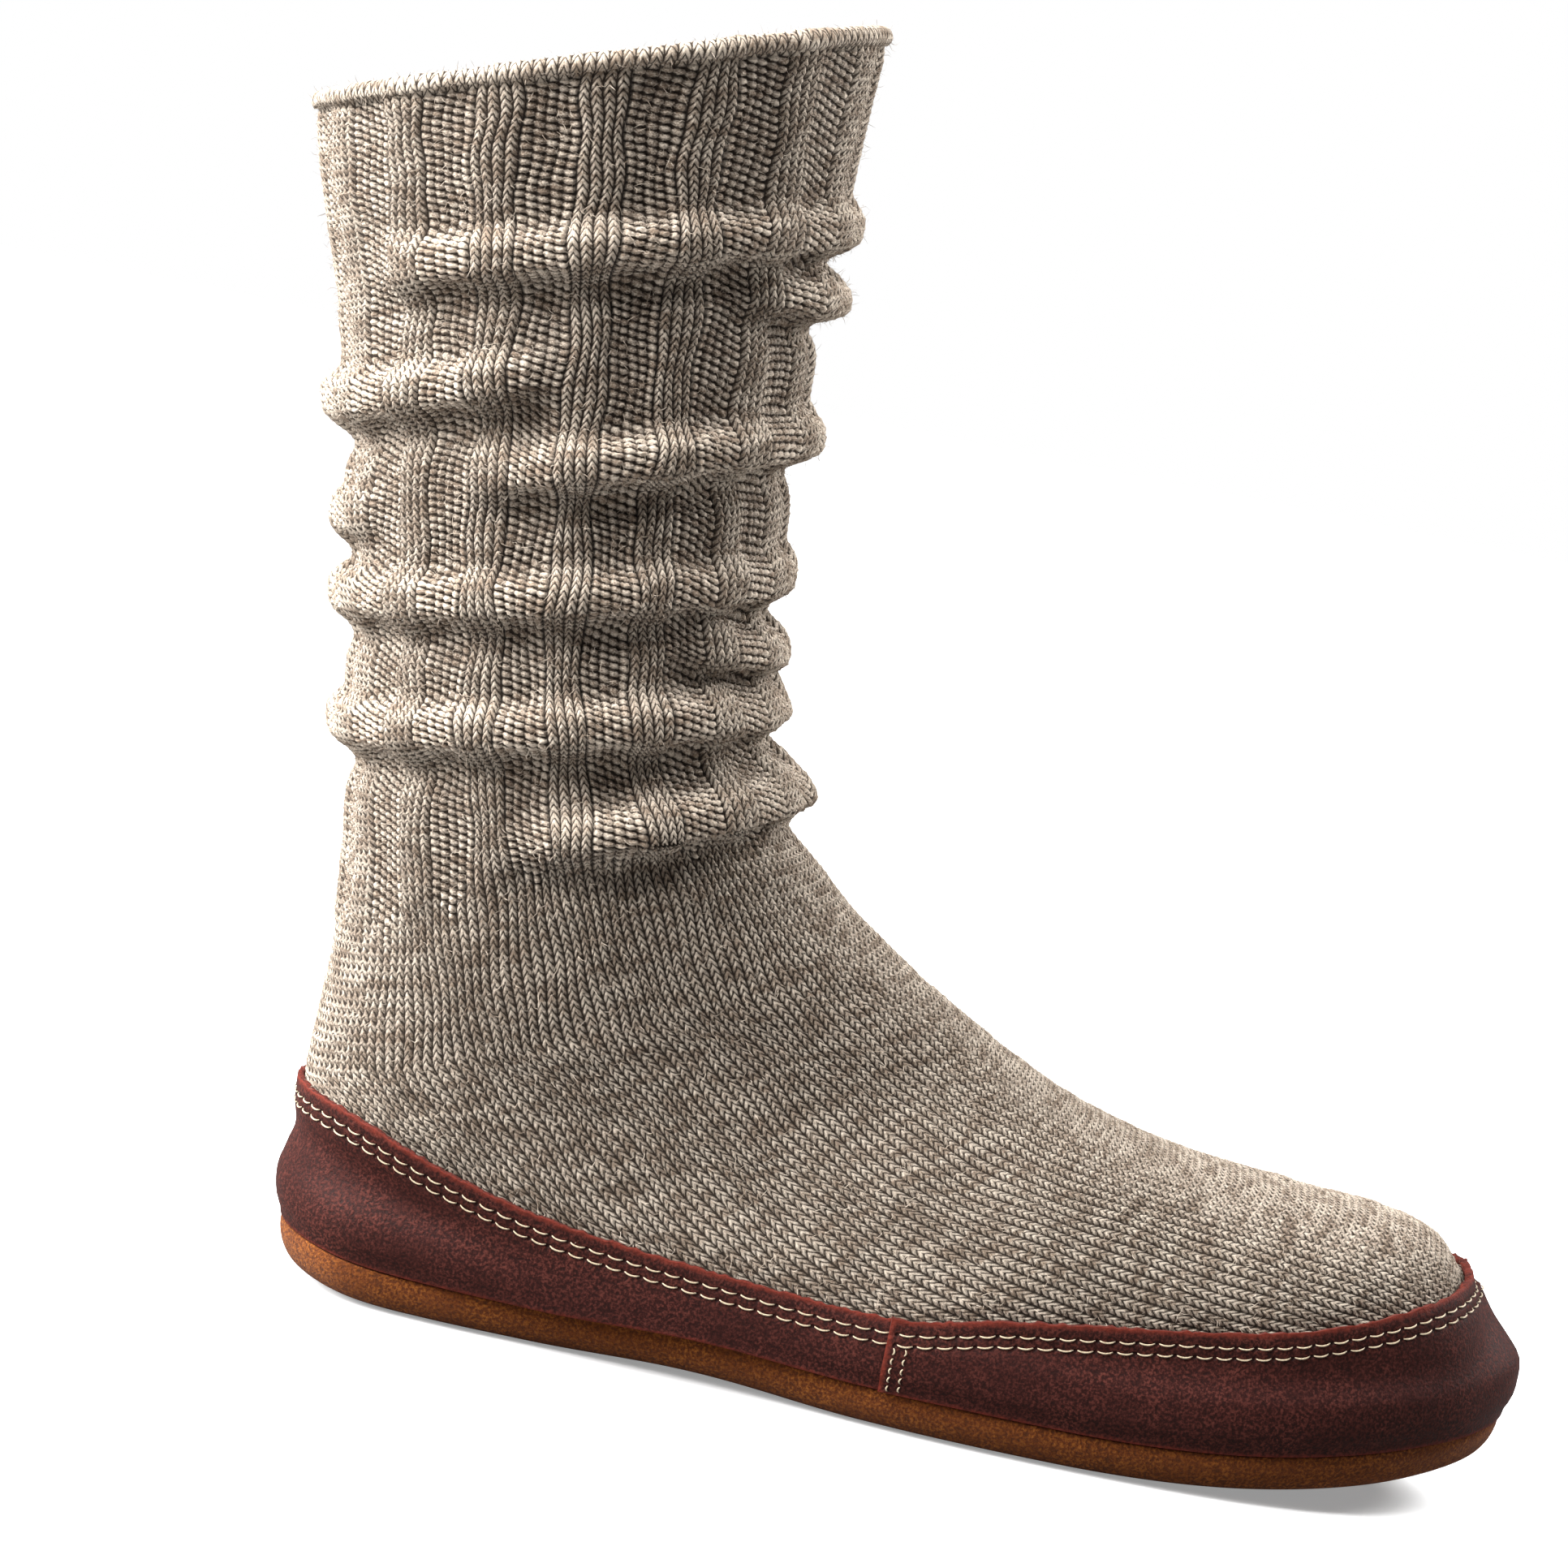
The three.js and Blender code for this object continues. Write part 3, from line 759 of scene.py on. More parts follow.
def mottle_group():
    """Mottled skin with light specks and dark grain, used by leather and suede."""
    name = "mottled_skin"
    if name in bpy.data.node_groups:
        return bpy.data.node_groups[name]
    group, source, result = new_group(
        name,
        (("Vector", "NodeSocketVector", None), ("Base", "NodeSocketColor", None),
         ("Light", "NodeSocketColor", None), ("Dark", "NodeSocketColor", None),
         ("Grain Scale", "NodeSocketFloat", SKIN_GRAIN), ("Patch Scale", "NodeSocketFloat", 60.0),
         ("Specks", "NodeSocketFloat", 0.5)),
        (("Color", "NodeSocketColor"), ("Height", "NodeSocketFloat")))
    place = source.outputs["Vector"]
    fine = add_node(group, "ShaderNodeTexNoise", {"Detail": 4.0, "Roughness": 0.65})
    broad = add_node(group, "ShaderNodeTexNoise", {"Detail": 3.0, "Roughness": 0.6})
    for texture, scale in ((fine, "Grain Scale"), (broad, "Patch Scale")):
        group.links.new(place, texture.inputs["Vector"])
        group.links.new(source.outputs[scale], texture.inputs["Scale"])
    grain = fine.outputs["Fac"]
    patch = ranged(group, broad.outputs["Fac"], *GRAIN_SPAN)
    light = worked(group, "MULTIPLY", ranged(group, grain, *SPECK_SPAN), source.outputs["Specks"])
    light = worked(group, "MULTIPLY", light, worked(group, "ADD", SPECK_LEAST, patch))
    dark = worked(group, "MULTIPLY", ranged(group, grain, *SHADE_SPAN), SHADE_MOST)
    colour = mixed_colour(group, light, source.outputs["Base"], source.outputs["Light"])
    colour = mixed_colour(group, dark, colour, source.outputs["Dark"])
    group.links.new(colour, result.inputs["Color"])
    group.links.new(grain, result.inputs["Height"])
    return group


def place_group(tree, group, links, **values):
    """Node of a group in a material, with its sockets linked or set."""
    made = add_node(tree, "ShaderNodeGroup", node_tree=group)
    for label, socket in links.items():
        tree.links.new(socket, made.inputs[label])
    for label, value in values.items():
        made.inputs[label.replace("_", " ")].default_value = value
    return made


def stitch_group():
    """Height of the knit from its own map of wales and courses, as stitch_relief works it out."""
    name = "knit_stitches"
    if name in bpy.data.node_groups:
        return bpy.data.node_groups[name]
    group, source, result = new_group(
        name,
        (("Map", "NodeSocketVector", None), ("Reverse", "NodeSocketFloat", 0.0)),
        (("Height", "NodeSocketFloat"), ("Fibre", "NodeSocketFloat")))
    maths = partial(worked, group)
    parts = group.nodes.new("ShaderNodeSeparateXYZ")
    group.links.new(source.outputs["Map"], parts.inputs[0])
    wale, course = parts.outputs["X"], parts.outputs["Y"]
    odd = maths("FLOORED_MODULO", maths("FLOOR", wale), 2.0)
    laid = maths("MULTIPLY_ADD", odd, 0.5, course)
    brick = maths("MULTIPLY", maths("SUBTRACT", maths("FRACT", wale), 0.5), 2.0)
    side = maths("ABSOLUTE", brick)
    strand = maths("SUBTRACT", course, maths("MULTIPLY", side, LEG_SLANT))
    cord = maths("SQRT", maths("SUBTRACT", 1.0, maths("POWER", side, LEG_ROUND)))
    seam = maths("SQRT", maths("MINIMUM", maths("DIVIDE", side, LEG_SEAM_SPAN), 1.0))
    cord = maths("MULTIPLY", cord, maths("MULTIPLY_ADD", seam, 1 - LEG_SEAM, LEG_SEAM))
    leg = maths("SINE", maths("MULTIPLY", maths("FRACT", strand), math.pi))
    leg = maths("POWER", maths("MAXIMUM", leg, 0.0), LEG_FULL)
    plain = maths("MULTIPLY", cord, maths("MULTIPLY_ADD", leg, 1 - LEG_GAP, LEG_GAP))
    slant = maths("MULTIPLY", brick, BUMP_SLANT)
    level = maths("ADD", maths("SUBTRACT", maths("FRACT", laid), 0.5), slant)
    level = maths("DIVIDE", level, BUMP_HEIGHT)
    wide = maths("DIVIDE", brick, BUMP_WIDTH)
    reach = maths("ADD", maths("MULTIPLY", wide, wide), maths("MULTIPLY", level, level))
    bump = maths("SQRT", maths("MAXIMUM", maths("SUBTRACT", 1.0, reach), 0.0))
    reverse = source.outputs["Reverse"]
    front = maths("SUBTRACT", 1.0, reverse)

    def chosen(fore, back):
        return maths("ADD", maths("MULTIPLY", fore, front), maths("MULTIPLY", back, reverse))

    group.links.new(chosen(plain, bump), result.inputs["Height"])
    across = chosen(
        maths("MULTIPLY", strand, LEG_FIBRES[0]),
        maths("MULTIPLY", maths("ADD", laid, slant), BUMP_FIBRES[0]))
    along = chosen(maths("MULTIPLY", side, LEG_FIBRES[1]), maths("MULTIPLY", brick, BUMP_FIBRES[1]))
    yarn = maths("MULTIPLY", maths("FLOOR", maths("MULTIPLY", wale, 2.0)), YARN_STEP)
    strands = group.nodes.new("ShaderNodeCombineXYZ")
    for slot, value in enumerate((across, along, yarn)):
        group.links.new(value, strands.inputs[slot])
    group.links.new(noise(group, strands.outputs[0], 1.0, 2.0, 0.6), result.inputs["Fibre"])
    return group


def wool_group():
    """Marled wool: two plies that change along the yarn, with painted shade darkening the hollows, and
    stray fibres.
    """
    name = "marled_wool"
    if name in bpy.data.node_groups:
        return bpy.data.node_groups[name]
    group, source, result = new_group(
        name,
        (("Light", "NodeSocketColor", None), ("Dark", "NodeSocketColor", None),
         ("Hollow", "NodeSocketColor", None), ("Depth", "NodeSocketFloat", 1.0),
         ("Fibre", "NodeSocketFloat", 0.5), ("Tone", "NodeSocketFloat", 0.5)),
        (("Color", "NodeSocketColor"), ("Height", "NodeSocketFloat")))
    place = object_place(group)
    maths = partial(worked, group)
    marl = noise(group, place, WOOL_MARL, 3.0, 0.65)
    fuzz = noise(group, place, WOOL_FUZZ, 4.0, 0.75)
    fibre = maths("ADD", source.outputs["Fibre"], spread(group, fuzz, FUZZ_SIZE))
    tone = maths("MULTIPLY_ADD", source.outputs["Tone"], TONE_WEIGHT, marl)
    mix = maths("ADD", ranged(group, tone, *PLY_CHANGE), spread(group, fibre, FIBRE_MARL))
    mix = maths("MINIMUM", maths("MAXIMUM", mix, 0.0), 1.0)
    yarn = mixed_colour(group, mix, source.outputs["Dark"], source.outputs["Light"])
    depth = maths("ADD", source.outputs["Depth"], spread(group, fibre, FIBRE_LIFT))
    # painted shade: the lower a point lies in its stitch, the more it takes the hollow shade colour
    hollow_shade = ranged(group, depth, *HOLLOW_SHADE_SPAN, HOLLOW_SHADE_MOST, 0.0)
    colour = mixed_colour(group, hollow_shade, yarn, source.outputs["Hollow"])
    group.links.new(colour, result.inputs["Color"])
    height = maths("MULTIPLY_ADD", fibre, FIBRE_LIFT, source.outputs["Depth"])
    group.links.new(height, result.inputs["Height"])
    return group


def attribute_value(tree, label):
    return add_node(tree, "ShaderNodeAttribute", attribute_name=label).outputs["Fac"]


def wool_material(knit):
    material, tree, shader = new_material(
        "marled_wool", Roughness=0.95, Sheen_Weight=0.05, Sheen_Roughness=0.6, Specular_IOR_Level=0.15)
    knit_map = tree.nodes.new("ShaderNodeUVMap").outputs["UV"]
    stitches = place_group(
        tree, stitch_group(), {"Map": knit_map, "Reverse": attribute_value(tree, "reverse")})
    # the stitches' depth, scaled where painted shade and light are laid on the knit
    depth = worked(tree, "MULTIPLY", stitches.outputs["Height"], attribute_value(tree, "open"))
    wool = place_group(
        tree, wool_group(),
        {"Depth": depth, "Fibre": stitches.outputs["Fibre"], "Tone": attribute_value(tree, "tone")},
        Light=rgba(knit.light), Dark=rgba(knit.dark), Hollow=rgba(knit.hollow_shade))
    surfaced(tree, shader, wool.outputs["Color"], wool.outputs["Height"], 0.4)
    return material


def hair_material(knit):
    material, tree, shader = new_material(
        "wool_hairs", Roughness=0.9, Sheen_Weight=0.3, Specular_IOR_Level=0.15)
    tone = noise(tree, object_place(tree), 300.0)
    colour = mixed_colour(tree, ranged(tree, tone, *NOISE_SPAN), rgba(knit.dark), rgba(knit.light))
    tree.links.new(colour, shader.inputs["Base Color"])
    return material


def leather_material(leather):
    """Oiled leather with rubbed specks, pierced along its stitch rows with needle holes dented and darkened
    by painted shade, with worn cut edges.
    """
    material, tree, shader = new_material("oiled_leather", Specular_IOR_Level=0.07)
    maths = partial(worked, tree)
    place = object_place(tree)
    skin = place_group(
        tree, mottle_group(), {"Vector": place},
        Base=rgba(leather.base), Light=rgba(leather.speck), Dark=rgba(leather.shade), **LEATHER_SKIN)
    parts = tree.nodes.new("ShaderNodeSeparateXYZ")
    tree.links.new(tree.nodes.new("ShaderNodeUVMap").outputs["UV"], parts.inputs[0])
    along, down = parts.outputs["X"], parts.outputs["Y"]
    pitch = leather.stitch_pitch / MM
    step = maths("SUBTRACT", maths("FRACT", maths("DIVIDE", along, pitch)), 0.5)
    step = maths("MULTIPLY", step, pitch)
    off = maths("MINIMUM", *(maths("ABSOLUTE", maths("SUBTRACT", down, row)) for row in STITCH_ROWS))
    gap = maths("SQRT", maths("ADD", maths("MULTIPLY", step, step), maths("MULTIPLY", off, off)))
    # painted shade: the needle holes darken towards the hole shade colour
    hole_shade_mask = ranged(tree, gap, *HOLE_RADII, HOLE_SHADE_MOST, 0.0)
    ragged = noise(tree, place, EDGE_GRAIN, 4.0, 0.7)
    edge = maths("MINIMUM", attribute_value(tree, "edge"), EDGE_REACH)
    worn = maths("MULTIPLY_ADD", ragged, -EDGE_WANDER, edge)
    rubbed = ranged(tree, worn, *EDGE_SPAN, EDGE_MOST, 0.0)
    colour = mixed_colour(tree, rubbed, skin.outputs["Color"], rgba(leather.edge))
    colour = mixed_colour(tree, hole_shade_mask, colour, rgba(leather.hole_shade))
    rough = ranged(tree, skin.outputs["Height"], *GRAIN_SPAN, *LEATHER_ROUGHNESS)
    tree.links.new(rough, shader.inputs["Roughness"])
    height = maths("SUBTRACT", skin.outputs["Height"], maths("MULTIPLY", hole_shade_mask, HOLE_DEPTH))
    surfaced(tree, shader, colour, height, 0.25)
    return material


def raw_edge_material(leather):
    material, tree, shader = new_material("cut_leather", Roughness=0.85, Specular_IOR_Level=0.2)
    fibre = noise(tree, object_place(tree), 1400.0, 4.0, 0.7)
    colour = mixed_colour(
        tree, ranged(tree, fibre, *NOISE_SPAN), rgba(leather.base), rgba(leather.edge))
    surfaced(tree, shader, colour, fibre, 0.3)
    return material


def thread_material(leather):
    material, tree, shader = new_material("cotton_thread", Roughness=0.6, Sheen_Weight=0.2)
    twist = noise(tree, object_place(tree), 2200.0, 2.0, 0.6)
    colour = mixed_colour(
        tree, ranged(tree, twist, *NOISE_SPAN), rgba(leather.cotton_shade), rgba(leather.cotton))
    surfaced(tree, shader, colour, twist, 0.1)
    return material


def suede_material(sole):
    material, tree, shader = new_material(
        "brushed_suede", Roughness=0.95, Sheen_Weight=0.04, Sheen_Roughness=0.5, Specular_IOR_Level=0.15)
    skin = place_group(
        tree, mottle_group(), {"Vector": object_place(tree)},
        Base=rgba(sole.suede), Light=rgba(sole.suede_light), Dark=rgba(sole.suede_dark), **SUEDE_SKIN)
    surfaced(tree, shader, skin.outputs["Color"], skin.outputs["Height"], 0.5)
    return material


def felt_material(sole):
    material, tree, shader = new_material(
        "wool_felt", Roughness=0.95, Sheen_Weight=0.25, Specular_IOR_Level=0.15)
    place = object_place(tree)
    fibre = noise(tree, place, 900.0, 5.0, 0.7)
    worn = noise(tree, place, 40.0, 3.0)
    dark = tuple(FELT_SHADE * part for part in sole.felt)
    colour = mixed_colour(tree, ranged(tree, fibre, 0.3, 0.65), rgba(dark), rgba(sole.felt))
    shaded = mixed_colour(tree, ranged(tree, worn, 0.45, 0.75, 0.0, 0.4), colour, rgba(dark))
    surfaced(tree, shader, shaded, fibre, 0.5)
    return material


def rib_share(angle, course):
    """1 on the ribbed shaft, 0 on the plain foot; the ribs reach lower at the back."""
    end = SHAFT_COURSES + RIB_LENGTH + RIB_DROP * smooth_step(np.abs(angle), *RIB_DROP_TURN)
    return smooth_step(end - course, 0.0, RIB_TAPER)


def shaft_grid(knit):
    """Knit of the ribbed shaft: the rolled rim, then the courses from the collar down over the folds."""
    rows = SHAFT_COURSES * ROWS_IN_COURSE
    wales = np.linspace(-WALES / 2, WALES / 2, WALES * COLUMNS_IN_WALE + 1)
    bead = knit.rim / MM / 2
    shares = np.linspace(0, RIB_END, SHAFT_STEPS)
    course = np.linspace(0, SHAFT_COURSES, len(shares))[:, None]
    angles = wale_angles(shares, wales + wale_sway(wales[None, :], course))
    run = sock_points(shares[:, None], angles)
    length = np.concatenate(
        [np.zeros((1, len(wales))), np.cumsum(np.linalg.norm(np.diff(run, axis=0), axis=2), axis=0)])
    start = bead * RIM_START
    share, angle = np.empty((rows + 1, len(wales))), np.empty((rows + 1, len(wales)))
    for k in range(len(wales)):
        share[:, k] = np.interp(np.linspace(start, length[-1, k], rows + 1), length[:, k], shares)
        angle[:, k] = np.interp(share[:, k], shares, angles[:, k])
    base = sock_points(share, angle)
    collar = sock_points(np.zeros(len(wales)), angle[0])
    rim = rim_rows(base, collar, bead)
    base = np.concatenate([rim, base])
    angle = np.concatenate([np.repeat(angle[:1], len(rim), axis=0), angle])
    course = (np.arange(len(base)) - len(rim))[:, None] / ROWS_IN_COURSE + np.zeros((1, len(wales)))
    wale = np.broadcast_to(wales + WALES / 2, course.shape)
    swell = np.linalg.norm(sock_points(share, angle[len(rim):], fold_share=0.0) - base[len(rim):], axis=2)
    swell = np.concatenate([np.zeros(rim.shape[:2]), swell])
    return knitted(base, wale, course, rib_share(angle, course), knit, closed=True, swell=swell)


def knitted(base, wale, course, ribbed, knit, closed, press=0.0, swell=0.0):
    """Lays stitches on a smooth grid, moving its points along the surface's own directions."""
    relief, reverse, rise = stitch_relief(wale, course, ribbed)
    chance = stitch_chance(wale, course, CHANCE_ROWS, SEED)
    patch = wale / LOOSE_PATCH[0] + LOOSE_SHIFT, course / LOOSE_PATCH[1] + MAP_START
    loose = stitch_chance(*patch, LOOSE_ROWS, SEED + 5)
    rim = smooth_step(course, *RIM_FADE)
    size = knit.relief / MM * (STITCH_LEAST + STITCH_RANGE * chance) * (RIM_RELIEF + (1 - RIM_RELIEF) * rim)
    height = size * (relief - STITCH_MIDDLE) + LOOSE_SIZE * (loose - 0.5)
    roll = smooth_step(swell, *ROLL_SWELL)
    rise = rise * (1 - ROLL_EASE * roll)
    height = height + 0.5 * knit.rib / MM * rise * (RIM_RIB + (1 - RIM_RIB) * rim) - press
    points = base + grid_normals(base, closed) * height[..., None]
    uv = np.stack([wale, course + MAP_START], axis=-1)
    # painted shade and light: a scale on the stitches' depth, which sets their bump and the painted shade
    # of their hollows; reverse ribs get less and look darker, rolls and the rim get more and look lighter
    depth_and_painted_light = 1 - RIB_SHADE * np.maximum(0, -rise) + ROLL_SHINE * roll + RIM_SHINE * (1 - rim)
    layers = {"reverse": reverse, "open": depth_and_painted_light, "tone": chance}
    return points, uv, layers


def rim_rows(base, collar, bead):
    """Smooth rows that roll the collar's edge over to the inside, above the first row of the shaft."""
    outward = grid_normals(base[:RIM_ROWS], True)[0]
    upward = unit(collar - base[0])
    middle = collar - upward * bead - outward * (bead * (1 - RIM_PROUD))
    count = int(math.radians(RIM_TURN[0] - RIM_TURN[1]) * bead / RIM_COURSE * ROWS_IN_COURSE)
    rows = []
    for turn in np.radians(np.linspace(*RIM_TURN, count)):
        rows.append(middle + (outward * math.cos(turn) + upward * math.sin(turn)) * bead)
    return np.stack(rows)


def foot_grid(knit, low_wale, high_wale):
    """Knit of one side of the foot, in plain stitches below the end of the ribs."""
    columns = int((high_wale - low_wale) * COLUMNS_IN_WALE)
    wales = np.linspace(low_wale, high_wale, columns + 1)
    shares = np.linspace(RIB_END, 1, FOOT_STEPS)
    rough = SHAFT_COURSES + np.linspace(0, FOOT_COURSES, len(shares))[:, None]
    swayed = wales + wale_sway(wales[None, :], rough)
    angles = wale_angles(shares, swayed)
    run = sock_points(shares[:, None], angles)
    steps = np.linalg.norm(np.diff(run, axis=0), axis=2)
    even = np.broadcast_to(steps.mean(axis=1, keepdims=True), steps.shape)
    length = np.concatenate([np.zeros((1, len(wales))), np.cumsum((steps + even) / 2, axis=0)])
    course_size = knit.course / MM
    rows = int(length.max() / course_size) * ROWS_IN_COURSE
    target = np.arange(rows + 1) / ROWS_IN_COURSE * course_size
    share = np.stack([np.interp(target, length[:, k], shares) for k in range(len(wales))], axis=1)
    angle = np.stack([np.interp(share[:, k], shares, angles[:, k]) for k in range(len(wales))], axis=1)
    base = sock_points(share, angle) + toe_dome(target, length[-1], angles[-1])
    course = np.arange(rows + 1)[:, None] / ROWS_IN_COURSE + SHAFT_COURSES + np.zeros(share.shape)
    wale = np.broadcast_to(wales + WALES / 2, course.shape)
    over_edge = base[..., 2] - rand_edge(base[..., 0])
    press = PRESS_AT_RAND * (1 - smooth_step(over_edge, 0.0, PRESS_FADE))
    return knitted(base, wale, course, rib_share(angle, course), knit, False, press)


def toe_dome(target, end, angles):
    """Way from the last section's edge on over a low dome, for wales that go on past their end."""
    edge = sock_points(np.ones(len(angles)), angles)
    around = np.linspace(0, 360, TIP_STEPS, endpoint=False)
    middle = sock_points(np.ones(TIP_STEPS), around).mean(axis=0)
    past = np.maximum(0, target[:, None] - end[None, :])
    share = np.clip(past / np.linalg.norm(edge - middle, axis=1), 0, 1)[..., None]
    return (middle - edge) * share + np.array(TOE_FACING) * TOE_DOME * np.sqrt(1 - (1 - share) ** 2)


def hidden_by_rand(points):
    return points[:, 2] < rand_edge(points[:, 0]) - HIDDEN_DEPTH


class SLIPPER_OT_knit(bpy.types.Operator):
    """Knits the upper: ribbed shaft with its rolled rim, and plain foot"""

    bl_idname = "slipper.knit"
    bl_label = "Knit Upper"

    def execute(self, context):
        knit = context.scene.slipper_knit
        wool = wool_material(knit)
        points, uv, layers = shaft_grid(knit)
        cuts = np.linspace(0, len(points) - 1, len(SHAFT_PIECES) + 1).astype(int)
        for name, first, last in zip(SHAFT_PIECES, cuts, cuts[1:]):
            part = slice(first, last + 1)
            cut = [(label, values[part]) for label, values in layers.items()]
            piece = grid_piece(name, points[part], uv[part], cut, closed=True)
            finish_piece(piece, "knit_upper", wool)
        for name, low, high in zip(FOOT_PIECES, (0, -WALES / 2), (WALES / 2, 0)):
            points, uv, layers = foot_grid(knit, low, high)
            piece = grid_piece(name, points, uv, layers.items())
            delete_where(piece, hidden_by_rand)
            finish_piece(piece, "knit_upper", wool)
        return {"FINISHED"}


class SLIPPER_OT_inside(bpy.types.Operator):
    """Makes the inner face of the knitted wall, from the rolled rim down to the insole"""

    bl_idname = "slipper.inside"
    bl_label = "Inside of Upper"

    def execute(self, context):
        shaft = np.linspace(INSIDE_START, RIB_END, INSIDE_ROWS[0])
        shares = np.concatenate([shaft, np.linspace(RIB_END, 1, INSIDE_ROWS[1])[1:]])
        angles = np.linspace(180, -180, 2 * WALES + 1)
        points = sock_points(shares[:, None], angles[None, :], -KNIT_WALL, INSIDE_FOLD_SHARE)
        shape = points.shape[:2]
        uv = np.stack(np.meshgrid(angles * WALES / 360, np.arange(len(shares))), axis=-1) + MAP_START
        tone = stitch_chance(uv[..., 0], uv[..., 1], CHANCE_ROWS, SEED)
        layers = (("reverse", np.ones(shape)), ("open", np.ones(shape)), ("tone", tone))
        piece = grid_piece("knit_inside", points, uv, layers, closed=True)
        delete_where(piece, lambda p: p[:, 2] < INSOLE_TOP - INSIDE_SINK + sole_lift(p[:, 0]))
        finish_piece(piece, "knit_upper", bpy.data.materials["marled_wool"])
        return {"FINISHED"}


class SLIPPER_OT_hairs(bpy.types.Operator):
    """Scatters loose wool hairs over the knit"""

    bl_idname = "slipper.hairs"
    bl_label = "Wool Hairs"

    def execute(self, context):
        knit = context.scene.slipper_knit
        dice = np.random.RandomState(SEED + 1)
        places, directions = [], []
        for name in SHAFT_PIECES + FOOT_PIECES:
            mesh = bpy.data.objects[name].data
            places.append(shoe_places(mesh))
            directions.append(vectors(mesh.vertex_normals, "vector"))
        places, directions = np.concatenate(places), np.concatenate(directions)
        picked = dice.randint(0, len(places), knit.hairs)
        root, normal = places[picked], directions[picked]
        lean = unit(dice.normal(size=root.shape))
        lean = unit(lean - normal * (lean * normal).sum(axis=1, keepdims=True))
        rise = dice.uniform(*HAIR_RISE, (len(root), 1))
        length = dice.uniform(*HAIR_LENGTH, (len(root), 1))
        middle = root + unit(normal * rise + lean * HAIR_LEAN) * length * 0.5
        curl = unit(dice.normal(size=root.shape))
        tip = middle + unit(normal * rise * 0.5 + lean + HAIR_CURL * curl) * length * 0.5
        side = unit(np.cross(normal, lean)) * HAIR_HALF_WIDTH
        points = np.stack([root - side, root + side, middle + side, middle - side, tip], axis=1)
        start = np.arange(len(root))[:, None] * 5
        quads = start + np.array([[0, 1, 2, 3]])
        tips = start + np.array([[3, 2, 4]])
        faces = [row for pair in zip(quads.tolist(), tips.tolist()) for row in pair]
        piece = joined_piece("wool_hairs", points.reshape(-1, 3), np.array(faces, dtype=object))
        finish_piece(piece, "knit_upper", hair_material(knit))
        return {"FINISHED"}


def foot_outline(count):
    """Even points round the foot's outline, from the heel over the outer side, with inward directions."""
    rows = np.array(OUTLINE, float)
    outer = np.stack([rows[:, 0], -rows[:, 1]], axis=1)
    inner = np.stack([rows[:, 0], rows[:, 2]], axis=1)[::-1]
    knots = np.vstack([[HEEL_BACK_X, 0], outer, TOE_TIP, inner])
    total = len(knots)
    t = np.linspace(0, 1, KNOT_STEPS, endpoint=False)[:, None]
    run = []
    for i in range(total):
        a, b, c, d = (knots[(i + k) % total] for k in (-1, 0, 1, 2))
        gaps = [np.linalg.norm(q - p) ** 0.5 for p, q in ((a, b), (b, c), (c, d))]
        leave = ((b - a) / gaps[0] - (c - a) / (gaps[0] + gaps[1]) + (c - b) / gaps[1]) * gaps[1]
        arrive = ((c - b) / gaps[1] - (d - b) / (gaps[1] + gaps[2]) + (d - c) / gaps[2]) * gaps[1]
        bend = 3 * (c - b) - 2 * leave - arrive
        twist = 2 * (b - c) + leave + arrive
        run.append(b + leave * t + bend * t**2 + twist * t**3)
    run = np.vstack(run)
    run = np.vstack([run, run[:1]])
    length = np.concatenate([[0], np.cumsum(np.linalg.norm(np.diff(run, axis=0), axis=1))])
    even = np.linspace(0, length[-1], count, endpoint=False)
    points = np.stack([np.interp(even, length, run[:, k]) for k in range(2)], axis=1)
    along = unit(np.roll(points, -1, axis=0) - np.roll(points, 1, axis=0))
    return points, np.stack([-along[:, 1], along[:, 0]], axis=1)


def sole_ring(outline, inward, inset, z):
    """Ring of points at one level of a sole piece."""
    flat = outline + inward * inset
    return np.column_stack([flat, z + sole_lift(flat[:, 0])])


def sole_stack(levels, steps, count):
    """Rings through a table of levels, rounded between them, from below."""
    outline, inward = foot_outline(count)
    run = smooth_run(levels, np.linspace(0, 1, steps))
    return np.stack([sole_ring(outline, inward, inset, z) for inset, z in run])


def closed_stack(name, rings, caps):
    """Grid piece round a stack of rings, closed below and above by smaller and smaller rings."""
    below, above = [], []
    for share in caps:
        for rows, edge in ((below, rings[0]), (above, rings[-1])):
            middle = spine_of(edge)
            rows.append(middle + (edge - middle) * share)
    stack = np.stack([*below, *rings, *above[::-1]])
    stack = np.concatenate([stack, stack[:, :1]], axis=1)
    turn = np.linspace(0, 1, stack.shape[1])
    uv = np.stack(np.meshgrid(turn, np.linspace(0, 1, stack.shape[0])), axis=-1)
    return grid_piece(name, stack, uv, closed=True)


def spine_of(ring):
    """Point of the foot's middle line for each point of a ring, at the ring's own height."""
    low, high = ring[:, 0].min() + SPINE_ENDS[0], ring[:, 0].max() - SPINE_ENDS[1]
    x = np.clip(ring[:, 0], low, high)
    return np.column_stack([x, np.interp(x, (low, high), (0, SPINE_SHIFT)), ring[:, 2]])


class SLIPPER_OT_outsole(bpy.types.Operator):
    """Makes the suede outsole with its rounded edge"""

    bl_idname = "slipper.outsole"
    bl_label = "Suede Outsole"

    def execute(self, context):
        rings = sole_stack(OUTSOLE_LEVELS, *OUTSOLE_GRID)
        piece = closed_stack("suede_outsole", rings, OUTSOLE_CAPS)
        finish_piece(piece, "outsole", suede_material(context.scene.slipper_sole))
        return {"FINISHED"}


